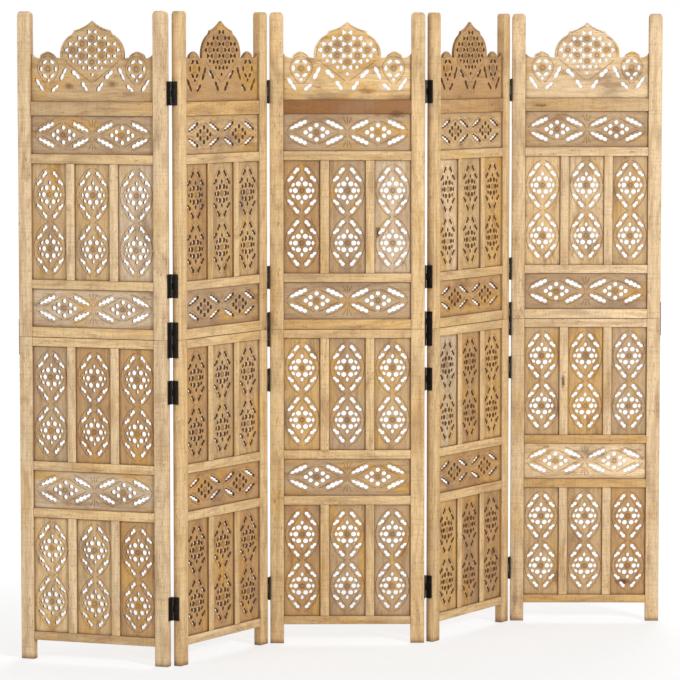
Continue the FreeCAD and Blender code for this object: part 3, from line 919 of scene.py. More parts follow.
@dataclass
class TimberFrame:
    """Posts, rails and muntins of one panel.

    Attributes:
        edge: Radius of the timbers' edges.
        side_shade: Painted shade on the sides of rails and muntins that meet the boards, 0 to 1.
        post_side_hollow: Painted shade on the inner sides of the posts, 0 to 1.
        top_steps: Straight pieces in each rounded corner of a post's top.
    """

    number: int
    place: PanelPlace
    tones: PanelTones
    wood: Material
    sizes: ScreenSizes = field(default_factory=ScreenSizes)
    edge: float = 0.0011
    # Painted shade on the sides of rails, muntins and posts that meet the boards.
    side_shade: float = 1.0
    post_side_hollow: float = 0.35
    top_steps: int = 5
    slot: str = "frame_wood"

    def mesh(self, part: Part) -> PieceMesh:
        """Starts a mesh for one part of the panel."""
        return PieceMesh(self.place, self.number, part)

    def finish(self, mesh: PieceMesh) -> None:
        """Makes one part's object."""
        mesh.finish("timber", self.slot, self.wood)

    def block(self, low: Point, high: Point, inner_sides: Sides) -> Board:
        """Makes a block with rounded edges and painted shade on its inner sides, between two corners of the
        panel.
        """
        outline = [(low[0], low[2]), (high[0], low[2]), (high[0], high[2]), (low[0], high[2])]
        return rounded_solid(outline, low[1], high[1], self.edge, inner_sides)

    def post_outline(self, left: float) -> list[Pair]:
        """Draws an upper post with its two rounded top corners.

        Args:
            left: Left side of the post.

        Returns:
            Points (across, up), in turn.
        """
        size = self.sizes
        right = left + size.post_width
        steps = [math.radians(90 * step / self.top_steps) for step in range(self.top_steps + 1)]
        base = size.panel_height - size.post_top_rise
        turn = [(1 - math.cos(angle), math.sin(angle)) for angle in steps]
        rising = [(right - size.post_top_run * run, base + size.post_top_rise * rise) for run, rise in turn]
        falling = [(left + size.post_top_run * run, base + size.post_top_rise * rise) for run, rise in turn]
        return [(left, size.seam), (right, size.seam)] + rising + falling[::-1]

    def build_posts(self) -> None:
        """Builds the lower and the upper posts."""
        size = self.sizes
        lower, upper = self.mesh(Part.LOWER_POSTS), self.mesh(Part.UPPER_POSTS)
        for left, inner in ((0, 1), (size.panel_width - size.post_width, -1)):
            sides = {(inner, 0, 0): self.post_side_hollow}
            solid = self.block((left, 0, 0), (left + size.post_width, size.post_depth, size.seam), sides)
            lower.add(solid, Grain.UPRIGHT, self.tones.posts)
            solid = rounded_solid(self.post_outline(left), 0, size.post_depth, self.edge, sides)
            upper.add(solid, Grain.UPRIGHT, self.tones.posts)
        self.finish(lower)
        self.finish(upper)

    def build_rails(self) -> None:
        """Builds the rails."""
        size = self.sizes
        rails = self.mesh(Part.RAILS)
        front = (size.post_depth - size.rail_depth) / 2
        left, right = size.post_width, size.panel_width - size.post_width
        sides = {(0, 0, up): self.side_shade for up in (-1, 1)}
        for (bottom, top), tone in zip(size.rail_levels(), self.tones.rails):
            solid = self.block((left, front, bottom), (right, front + size.rail_depth, top), sides)
            rails.add(solid, Grain.LEVEL, tone)
        self.finish(rails)

    def build_muntins(self) -> None:
        """Builds the muntins of the fret rows."""
        size = self.sizes
        muntins = self.mesh(Part.MUNTINS)
        front = (size.post_depth - size.muntin_depth) / 2
        back = front + size.muntin_depth
        sides = {(across, 0, 0): self.side_shade for across in (-1, 1)}
        for bottom in [level for row, level in size.row_levels() if row is Row.FRETS]:
            top = bottom + size.row_height(Row.FRETS)
            for index in range(1, size.frets_in_row):
                left = size.post_width + index * size.fret_width + (index - 1) * size.muntin_width
                solid = self.block((left, front, bottom), (left + size.muntin_width, back, top), sides)
                muntins.add(solid, Grain.UPRIGHT, self.tones.posts)
        self.finish(muntins)

    def build(self) -> None:
        """Builds every timber of the frame."""
        self.build_posts()
        self.build_rails()
        self.build_muntins()


def arc_points(start: Vector, middle: Vector, end: Vector, steps: int) -> list[Vector]:
    """Divides the arc through three points.

    Args:
        start: Point where the arc starts.
        middle: Point on the arc.
        end: Point where it ends.
        steps: Straight pieces of the arc.

    Returns:
        Points from the start up to, but without, the end.
    """
    first, second = middle - start, end - start
    turns_left = first.cross(end - middle) > 0
    scale = 2 * first.cross(second)
    square_1, square_2 = first.length_squared, second.length_squared
    centre = start + Vector((second.y * square_1 - first.y * square_2,
                             first.x * square_2 - second.x * square_1)) / scale
    radius = (start - centre).length
    begin, stop = [math.atan2(p.y - centre.y, p.x - centre.x) for p in (start, end)]
    sweep = (stop - begin) % (2 * math.pi)
    if not turns_left:
        sweep -= 2 * math.pi
    angles = [begin + sweep * step / steps for step in range(steps)]
    return [centre + radius * Vector((math.cos(angle), math.sin(angle))) for angle in angles]


def circle(radius: float, sides: int) -> Loop:
    """Points of a circle about the origin, counter-clockwise."""
    turns = np.arange(sides) * 2 * math.pi / sides
    return radius * np.column_stack((np.cos(turns), np.sin(turns)))


@dataclass(frozen=True)
class Hole:
    """One hole's outline and size, drawn about its own middle.

    Attributes:
        length: Length of a leaf, diameter, or twice the distance of a clover's tips from its middle.
        width: Width of a lobed leaf, or twice the radius of a clover's valleys.
        crest_shares: Widths of a leaf's lobes, as shares of its width.
        valley_shares: Widths between the lobes, as shares of its width.
        steps: Straight pieces in each arc.
    """

    cut: Cut
    length: float
    width: float
    crest_shares: tuple[float, ...] = (1.0,)
    valley_shares: tuple[float, ...] = ()
    steps: int = 6

    def lobed_side(self, rise: float) -> list[Vector]:
        """Draws one side of a lobed leaf.

        Args:
            rise: Half width of the leaf, less than nought for its lower side.

        Returns:
            Points from the left tip up to, but without, the right tip.
        """
        pitch = self.length / len(self.crest_shares)
        ends = (0.0, *self.valley_shares, 0.0)
        side = []
        for lobe, crest in enumerate(self.crest_shares):
            start = lobe * pitch - self.length / 2
            side += arc_points(Vector((start, ends[lobe] * rise)), Vector((start + pitch / 2, crest * rise)),
                               Vector((start + pitch, ends[lobe + 1] * rise)), self.steps)
        return side

    def loop(self) -> Loop:
        """Draws the hole.

        Returns:
            Its outline, counter-clockwise.
        """
        if self.cut is Cut.ROUND:
            return circle(self.length / 2, 2 * self.steps)
        if self.cut is Cut.CLOVER:
            step = math.radians(60)
            valley, tip = self.width / 2, self.length / 2
            points = []
            for turn in (0, 2 * step, 4 * step):
                arc = [Vector((r * math.cos(t), r * math.sin(t)))
                       for t, r in ((turn - step, valley), (turn, tip), (turn + step, valley))]
                points += arc_points(*arc, self.steps)
            return np.array(points)
        lower = self.lobed_side(-self.width / 2)
        upper = self.lobed_side(self.width / 2)
        tip = [Vector((self.length / 2, 0.0))]
        return np.array(lower + tip + upper[:0:-1])


@dataclass(frozen=True)
class Stroke:
    """A chiselled line along a path of points, which runs out to nothing at both ends."""

    path: tuple[Pair, ...]
    width: float = 0.0021

    def mirrored(self) -> "Stroke":
        """The same line seen in a mirror."""
        return Stroke(tuple((-x, z) for x, z in self.path), self.width)

    def sides(self) -> tuple[Loop, Loop]:
        """Draws the line's edges between its two ends.

        Returns:
            The left and the right edge.
        """
        path = np.array(self.path)
        ahead = path[2:] - path[:-2]
        out = np.column_stack((-ahead[:, 1], ahead[:, 0])) / np.linalg.norm(ahead, axis=1)[:, None]
        return path[1:-1] + out * self.width / 2, path[1:-1] - out * self.width / 2

    def loop(self) -> Loop:
        """Draws the line.

        Returns:
            Its outline, counter-clockwise.
        """
        left, right = self.sides()
        path = np.array(self.path)
        return np.vstack((path[:1], right, path[-1:], left[::-1]))


@dataclass(frozen=True)
class HolePlace:
    """A hole, a chiselled line or a carved boss at its place on a board.

    Attributes:
        turn: Angle in degrees, counter-clockwise.
        boss: Radius of the boss, or 0 for a hole or line.
    """

    hole: Hole | Stroke | None
    x: float
    z: float
    turn: float = 0.0
    boss: float = 0.0


def mirrored_strokes(path: Loop, x: float, z: float, level_too: bool) -> list[HolePlace]:
    """Sets a line out about a place, to the right and mirrored to the left.

    Args:
        path: Points of the line about the place.
        x: Place across.
        z: Place up.
        level_too: Whether it is set out upside down too.

    Returns:
        The lines.
    """
    stroke = Stroke(tuple((float(px), float(pz)) for px, pz in path))
    turns = ((stroke, 0.0), (stroke.mirrored(), 0.0))
    if level_too:
        turns += ((stroke, 180.0), (stroke.mirrored(), 180.0))
    return [HolePlace(line, x, z, turn) for line, turn in turns]


def smooth_path(*corners: Pair, steps: int = 4) -> Loop:
    """Draws a smooth line through corners.

    Args:
        corners: The corners.
        steps: Straight pieces between each two.

    Returns:
        Points of the line.
    """
    line = [corners[0], *corners, corners[-1]]
    points = []
    for index in range(1, len(line) - 2):
        a, b, c, d = [np.array(line[index + k]) for k in (-1, 0, 1, 2)]
        for step in range(steps):
            t = step / steps
            points.append(0.5 * (2 * b + (c - a) * t + (2 * a - 5 * b + 4 * c - d) * t * t
                                 + (3 * b - a - 3 * c + d) * t ** 3))
    return np.array([*points, corners[-1]])


def four_ways(x: float, z: float) -> list[Pair]:
    """A place and its mirror images across both axes, each once."""
    return sorted({(side * x, level * z) for side in (-1, 1) for level in (-1, 1)})


def slope_sign(x: float, z: float) -> float:
    """Sense of a cut that lies along a diamond's side around the middle."""
    return math.copysign(1, -x * z)


def outward_turn(x: float, z: float, angle: float) -> float:
    """Angle that turns the last lobe of a cut on a diamond's side away from the middle."""
    return slope_sign(x, z) * angle + (180 if x < 0 else 0)


def grown(loop: Loop, by: float) -> Loop:
    """Moves a counter-clockwise loop outwards along its corner normals.

    Args:
        loop: The loop.
        by: Distance, less than nought for inwards.

    Returns:
        The moved loop.
    """
    ahead, behind = np.roll(loop, -1, axis=0) - loop, loop - np.roll(loop, 1, axis=0)
    normals = [np.column_stack((side[:, 1], -side[:, 0])) / np.linalg.norm(side, axis=1)[:, None]
               for side in (ahead, behind)]
    out = normals[0] + normals[1]
    return loop + by * out / np.linalg.norm(out, axis=1)[:, None]


def board_edge(width: float, height: float, tongue: float) -> Loop:
    """Edge of a board that fills an opening and goes into the grooves by a tongue, counter-clockwise."""
    half, rise = width / 2 + tongue, height / 2 + tongue
    return np.array(((-half, -rise), (half, -rise), (half, rise), (-half, rise)))


@dataclass(frozen=True)
class FretPattern:
    """Two medallions, one above the other, inside diamonds of leaves.

    Shares are of the opening's width and of half its height, from a medallion's middle.
    """

    sizes: ScreenSizes = ScreenSizes()
    medallion_rise_share: float = 0.465
    drop: Hole = Hole(Cut.ROUND, 0.013, 0.013, steps=8)
    drop_shares: Shares = ((0.096, 0.119), (0.178, 0.0))
    seed: Hole = Hole(Cut.LOBED, 0.012, 0.0075)
    seed_shares: Shares = ((0.0, 0.207), (0.302, 0.0), (0.235, 0.1))
    seed_angles: tuple[float, ...] = (90.0, 90.0, 57.0)
    leaf: Hole = Hole(Cut.LOBED, 0.020, 0.010, (1.0, 0.8), (0.52,), 5)
    leaf_shares: Shares = ((0.155, 0.348), (0.31, 0.207))
    leaf_angles: tuple[float, ...] = (50.0, 42.0)
    inner_line_shares: Shares = ((0.02, 0.372), (0.088, 0.318), (0.235, 0.18), (0.345, 0.075), (0.385, 0.012))
    outer_line_shares: Shares = ((0.045, 0.462), (0.12, 0.438), (0.232, 0.385), (0.378, 0.246), (0.45, 0.1),
                                 (0.462, 0.012))
    boss: float = 0.0086

    def places(self) -> list[HolePlace]:
        """Sets out the holes, lines and bosses.

        Returns:
            Their places about the middle of the opening.
        """
        width, cell = self.sizes.fret_width, self.sizes.row_height(Row.FRETS) / 2
        found = []
        for side in (-1, 1):
            middle = side * self.medallion_rise_share * cell
            found.append(HolePlace(None, 0, middle, boss=self.boss))
            found += [HolePlace(self.drop, x, middle + z) for x_share, z_share in self.drop_shares
                      for x, z in four_ways(x_share * width, z_share * cell)]
            for (x_share, z_share), angle in zip(self.seed_shares, self.seed_angles):
                found += [HolePlace(self.seed, x, middle + z, slope_sign(x, z) * angle)
                          for x, z in four_ways(x_share * width, z_share * cell)]
            for (x_share, z_share), angle in zip(self.leaf_shares, self.leaf_angles):
                found += [HolePlace(self.leaf, x, middle + z, outward_turn(x, z, angle))
                          for x, z in four_ways(x_share * width, z_share * cell)]
            for shares in (self.inner_line_shares, self.outer_line_shares):
                path = smooth_path(*[(x_share * width, z_share * cell) for x_share, z_share in shares])
                found += mirrored_strokes(path, 0, middle, True)
        return found

    def outline(self) -> Loop:
        """Edge of the board with its tongues."""
        return board_edge(self.sizes.fret_width, self.sizes.row_height(Row.FRETS), self.sizes.tongue)


@dataclass(frozen=True)
class BandPattern:
    """Two beaded medallions side by side, each framed by four feathers.

    Shares are of the opening's width and height, from a medallion's middle or, for the fan, the band's.
    """

    sizes: ScreenSizes = ScreenSizes()
    medallion_share: float = 0.241
    bead: Hole = Hole(Cut.ROUND, 0.0115, 0.0115, steps=8)
    bead_shares: Shares = ((0.0, 0.19), (0.048, 0.093), (0.085, 0.0))
    feather: Hole = Hole(Cut.LOBED, 0.049, 0.013, (0.78, 1.0, 0.86, 0.6), (0.4, 0.46, 0.3), 4)
    feather_share: Pair = (0.1416, 0.2)
    feather_angle: float = 25.0
    inner_line_shares: Shares = ((0.012, 0.3), (0.04, 0.27), (0.078, 0.195), (0.13, 0.1), (0.18, 0.018))
    outer_line_shares: Shares = ((0.07, 0.4), (0.12, 0.345), (0.17, 0.265), (0.21, 0.165), (0.236, 0.02))
    fan_line_shares: tuple[Shares, ...] = (((0.0, 0.2), (0.0, 0.3), (0.0, 0.42)),
                                           ((0.012, 0.22), (0.02, 0.3), (0.036, 0.4)))
    boss: float = 0.0088

    def places(self) -> list[HolePlace]:
        """Sets out the holes, lines and bosses.

        Returns:
            Their places about the middle of the opening.
        """
        width, height = self.sizes.opening_width, self.sizes.row_height(Row.BAND)
        found = []
        for side in (-1, 1):
            middle = side * self.medallion_share * width
            found.append(HolePlace(None, middle, 0, boss=self.boss))
            found += [HolePlace(self.bead, middle + x, z) for x_share, z_share in self.bead_shares
                      for x, z in four_ways(x_share * width, z_share * height)]
            x_share, z_share = self.feather_share
            found += [HolePlace(self.feather, middle + x, z, outward_turn(x, z, self.feather_angle))
                      for x, z in four_ways(x_share * width, z_share * height)]
            for shares in (self.inner_line_shares, self.outer_line_shares):
                path = smooth_path(*[(x_share * width, z_share * height) for x_share, z_share in shares])
                found += mirrored_strokes(path, middle, 0, True)
        return found + self.fan_places()

    def fan_places(self) -> list[HolePlace]:
        """Sets out short lines that fan out above and below the middle of the band.

        Returns:
            Their places.
        """
        width, height = self.sizes.opening_width, self.sizes.row_height(Row.BAND)
        upright, slanted = [smooth_path(*[(x_share * width, z_share * height) for x_share, z_share in shares])
                            for shares in self.fan_line_shares]
        stem = Stroke(tuple((float(x), float(z)) for x, z in upright))
        return [HolePlace(stem, 0, 0), HolePlace(stem, 0, 0, 180.0), *mirrored_strokes(slanted, 0, 0, True)]

    def outline(self) -> Loop:
        """Edge of the board with its tongues."""
        return board_edge(self.sizes.opening_width, self.sizes.row_height(Row.BAND), self.sizes.tongue)


@dataclass(frozen=True)
class CrownPattern:
    """Scalloped crown: a lattice dome between two side rosettes, over a row of leaves.

    Shares are of half the crown's width and of its height, from the middle of its foot.
    """

    sizes: ScreenSizes = ScreenSizes()
    shoulder_share: Pair = (1.0, 0.596)
    sweep_shares: Shares = ((0.934, 0.549), (0.861, 0.537))
    lobe_start_share: Pair = (0.849, 0.576)
    lobe_rise_shares: Shares = ((0.791, 0.605), (0.732, 0.622))
    lobe_fall_shares: Shares = ((0.678, 0.605), (0.626, 0.576))
    lobe_end_share: Pair = (0.614, 0.552)
    valley_shares: Shares = ((0.567, 0.542), (0.522, 0.537))
    dome_shares: Shares = ((0.475, 0.724), (0.319, 0.837))
    step_share: Pair = (0.29, 0.882)
    ogee_shares: Shares = ((0.133, 0.926), (0.0, 1.0))
    arc_steps: int = 8
    lattice: Hole = Hole(Cut.CLOVER, 0.0126, 0.0072, steps=5)
    lattice_columns: int = 3
    lattice_top_share: float = 0.788
    lattice_pitch_shares: Pair = (0.157, 0.148)
    lattice_boss: float = 0.0088
    pendant: Hole = Hole(Cut.ROUND, 0.0085, 0.0085, steps=7)
    pendant_shares: Shares = ((0.0, 0.335), (0.15, 0.42), (0.313, 0.503))
    side_leaf: Hole = Hole(Cut.LOBED, 0.016, 0.009)
    side_leaf_angle: float = 30.0
    side_share: Pair = (0.723, 0.405)
    side_pitch_shares: Pair = (0.18, 0.17)
    side_pendant_share: float = 0.262
    side_boss: float = 0.0098
    cut_shares: Shares = ((0.867, 0.205), (0.614, 0.167), (0.476, 0.345), (0.271, 0.335), (0.128, 0.187))
    cut_lengths: tuple[float, ...] = (0.040, 0.026, 0.038, 0.030, 0.029)
    cut_widths: tuple[float, ...] = (0.010, 0.010, 0.0105, 0.012, 0.011)
    cut_crest_shares: tuple[float, ...] = (1.0, 0.85)
    cut_valley_shares: tuple[float, ...] = (0.5,)
    cut_angles: tuple[float, ...] = (56.0, -41.0, -63.0, 43.0, 55.0)
    dome_line_shares: tuple[Shares, ...] = (
        ((0.485, 0.555), (0.478, 0.62), (0.452, 0.704), (0.39, 0.772), (0.306, 0.815)),
        ((0.268, 0.862), (0.2, 0.886), (0.1, 0.92), (0.02, 0.96)))
    vee_line_shares: Shares = ((0.45, 0.515), (0.36, 0.45), (0.23, 0.372), (0.12, 0.3), (0.02, 0.238))
    drop_line_shares: Shares = ((0.732, 0.56), (0.82, 0.535), (0.893, 0.45), (0.885, 0.36), (0.82, 0.27),
                                (0.738, 0.2))
    lobe_line_shares: Shares = ((0.732, 0.596), (0.79, 0.58), (0.838, 0.552))

    @property
    def half_width(self) -> float:
        """Half of the crown's width between the posts."""
        return self.sizes.opening_width / 2

    def point(self, share: Pair, side: int) -> Vector:
        """Point of the outline on the left, -1, or right, 1, half."""
        return Vector((side * share[0] * self.half_width, share[1] * self.sizes.crown_height))

    def right_edge(self) -> list[Vector]:
        """Draws the right half of the scalloped top.

        Returns:
            Points from the post to just before the apex.
        """
        def at(share: Pair) -> Vector:
            """Point on the right half."""
            return self.point(share, 1)

        steps = self.arc_steps
        edge = arc_points(at(self.shoulder_share), *map(at, self.sweep_shares), steps)
        edge += [at(self.sweep_shares[1])]
        edge += arc_points(at(self.lobe_start_share), *map(at, self.lobe_rise_shares), steps)
        edge += arc_points(at(self.lobe_rise_shares[1]), *map(at, self.lobe_fall_shares), steps)
        edge += [at(self.lobe_fall_shares[1])]
        edge += arc_points(at(self.lobe_end_share), *map(at, self.valley_shares), steps)
        edge += arc_points(at(self.valley_shares[1]), *map(at, self.dome_shares), 2 * steps)
        edge += [at(self.dome_shares[1])]
        edge += arc_points(at(self.step_share), *map(at, self.ogee_shares), steps)
        return edge

    def outline(self) -> Loop:
        """Draws the edge of the crown with its tongues.

        Returns:
            Points about the middle of its foot, counter-clockwise.
        """
        tongue = self.sizes.tongue
        right = [(p.x, p.y) for p in self.right_edge()]
        side = self.half_width + tongue
        shoulder = self.point(self.shoulder_share, 1).y
        right = [(side, -tongue), (side, shoulder)] + right
        left = [(-x, z) for x, z in reversed(right)]
        return np.array(right + [(0, self.sizes.crown_height)] + left)

    def six_around(self, x: float, z: float, pitch_shares: Pair) -> list[Pair]:
        """Finds six places round a boss.

        Args:
            x: Place of the boss across.
            z: Its place up.
            pitch_shares: Pitches across and up, as shares of the crown's half width and height.

        Returns:
            The places.
        """
        column, row = pitch_shares[0] * self.half_width, pitch_shares[1] * self.sizes.crown_height
        ring = [(x + 2 * side * column / 3, z) for side in (-1, 1)]
        return ring + [(x + dx, z + dz) for dx, dz in four_ways(column / 3, row / 2)]

    def lattice_places(self) -> list[HolePlace]:
        """Sets out bosses in columns that shorten outwards, and the clovers round them, each once.

        Returns:
            Their places.
        """
        column_pitch = self.lattice_pitch_shares[0] * self.half_width
        row_pitch = self.lattice_pitch_shares[1] * self.sizes.crown_height
        top = self.lattice_top_share * self.sizes.crown_height
        clovers, bosses = [], []
        for column in range(1 - self.lattice_columns, self.lattice_columns):
            for row in range(self.lattice_columns - abs(column)):
                middle, level = column * column_pitch, top - (row + abs(column) / 2) * row_pitch
                bosses.append(HolePlace(None, middle, level, boss=self.lattice_boss))
                for x, z in self.six_around(middle, level, self.lattice_pitch_shares):
                    others = [math.dist((x, z), (other.x, other.z)) for other in clovers]
                    if min(others, default=math.inf) > self.lattice.length / 2:
                        is_beside = abs(x - middle) > column_pitch / 2
                        turn = 0 if (x > middle) == is_beside else 180
                        clovers.append(HolePlace(self.lattice, x, z, turn))
        return bosses + clovers

    def rosette_places(self, side: int) -> list[HolePlace]:
        """Sets out a side rosette's boss, its ring of leaves and the drop under it.

        Args:
            side: Left, -1, or right, 1.

        Returns:
            Their places.
        """
        middle = self.point(self.side_share, side)
        found = [HolePlace(None, middle.x, middle.y, boss=self.side_boss)]
        for x, z in self.six_around(middle.x, middle.y, self.side_pitch_shares):
            turn = 90 if z == middle.y else slope_sign(x - middle.x, z - middle.y) * self.side_leaf_angle
            found.append(HolePlace(self.side_leaf, x, z, turn))
        drop = self.side_pendant_share * self.sizes.crown_height
        return found + [HolePlace(self.pendant, middle.x, drop)]

    def places(self) -> list[HolePlace]:
        """Sets out the holes, lines and bosses.

        Returns:
            Their places about the middle of the crown's foot.
        """
        found = self.lattice_places()
        for x_share, z_share in self.pendant_shares:
            found += [HolePlace(self.pendant, x, z_share * self.sizes.crown_height)
                      for x in sorted({-x_share * self.half_width, x_share * self.half_width})]
        for side in (-1, 1):
            found += self.rosette_places(side)
            for share, length, width, angle in zip(self.cut_shares, self.cut_lengths,
                                                   self.cut_widths, self.cut_angles):
                place = self.point(share, side)
                hole = Hole(Cut.LOBED, length, width, self.cut_crest_shares, self.cut_valley_shares)
                found.append(HolePlace(hole, place.x, place.y, side * angle))
        return found + self.line_places()

    def line_places(self) -> list[HolePlace]:
        """Sets out lines along the dome's edge, under the lattice and round the side rosettes.

        Returns:
            Their places.
        """
        found = []
        middle = self.side_share[0] * self.half_width
        for shares in (*self.dome_line_shares, self.vee_line_shares):
            path = smooth_path(*[tuple(self.point(share, 1)) for share in shares])
            found += mirrored_strokes(path, 0, 0, False)
        for shares in (self.drop_line_shares, self.lobe_line_shares):
            path = smooth_path(*[tuple(self.point(share, 1) - Vector((middle, 0))) for share in shares])
            for side in (-1, 1):
                found += mirrored_strokes(path, side * middle, 0, False)
        return found


class NodeTree(Nodes):
    """A Geometry Nodes tree that is built node by node."""

    def __init__(self, name: str) -> None:
        """Starts a tree with a geometry input and output.

        Args:
            name: Name of the tree.
        """
        super().__init__(bpy.data.node_groups.new(name, "GeometryNodeTree"))
        for way in ("INPUT", "OUTPUT"):
            self.tree.interface.new_socket("Geometry", in_out=way, socket_type="NodeSocketGeometry")
        self.source = self.add("NodeGroupInput")
        self.result = self.add("NodeGroupOutput")

    def entry(self, name: str, kind: str) -> Socket:
        """Adds a named input of a socket type and returns its socket inside the tree."""
        self.tree.interface.new_socket(name, in_out="INPUT", socket_type=kind)
        return self.source.outputs[name]

    def attribute(self, name: str, kind: str) -> Socket:
        """Reads a named attribute of the points."""
        node = self.add("GeometryNodeInputNamedAttribute", {"Name": name}, data_type=kind)
        return node.outputs["Attribute"]

    def joined(self, *parts: Socket) -> Socket:
        """Joins geometry.

        Args:
            parts: The geometry, in order.

        Returns:
            The joined geometry.
        """
        node = self.add("GeometryNodeJoinGeometry")
        for part in parts:
            self.feed(node.inputs["Geometry"], part)
        return node.outputs["Geometry"]

    def realized(self, geometry: Socket) -> Socket:
        """Makes instances real and returns the geometry."""
        return self.add("GeometryNodeRealizeInstances", {"Geometry": geometry}).outputs["Geometry"]

    def ends_in(self, geometry: Socket, material: Socket) -> None:
        """Ends the tree: makes instances real and sets the material.

        Args:
            geometry: What the tree has made.
            material: Its finish.
        """
        finish = self.add("GeometryNodeSetMaterial", {
            "Geometry": self.realized(geometry), "Material": material})
        self.feed(self.result.inputs["Geometry"], finish.outputs["Geometry"])

    def run(self, points: Mesh, values: Mapping[str, object]) -> Mesh:
        """Runs the tree on a mesh of points.

        Args:
            points: The points, with their attributes.
            values: Value of each named input.

        Returns:
            The plain mesh that comes out.
        """
        maker = placed(self.tree.name, points)
        modifier = maker.modifiers.new(self.tree.name, "NODES")
        modifier.node_group = self.tree
        identifiers = {item.name: item.identifier for item in self.tree.interface.items_tree
                       if item.in_out == "INPUT"}
        for name, value in values.items():
            modifier[identifiers[name]] = value
        evaluated = maker.evaluated_get(bpy.context.evaluated_depsgraph_get())
        made = bpy.data.meshes.new_from_object(evaluated)
        maker.modifiers.remove(modifier)
        bpy.data.objects.remove(maker)
        return made


def fill_attribute(mesh: Mesh, name: str, kind: str, values: Iterable) -> None:
    """Stores one value for each point of a mesh.

    Args:
        mesh: The mesh.
        name: Name of the attribute.
        kind: Its type.
        values: The values in the order of the points.
    """
    attribute = mesh.attributes.new(name, kind, "POINT")
    key = "vector" if kind == "FLOAT_VECTOR" else "value"
    attribute.data.foreach_set(key, np.array(values).ravel())


def ring_faces(levels: int, count: int) -> Faces:
    """Lists the faces between rings of points that follow one another.

    Args:
        levels: Number of rings.
        count: Points in each ring.

    Returns:
        The faces.
    """
    return [(level * count + step, level * count + (step + 1) % count,
             (level + 1) * count + (step + 1) % count, (level + 1) * count + step)
            for level in range(levels - 1) for step in range(count)]


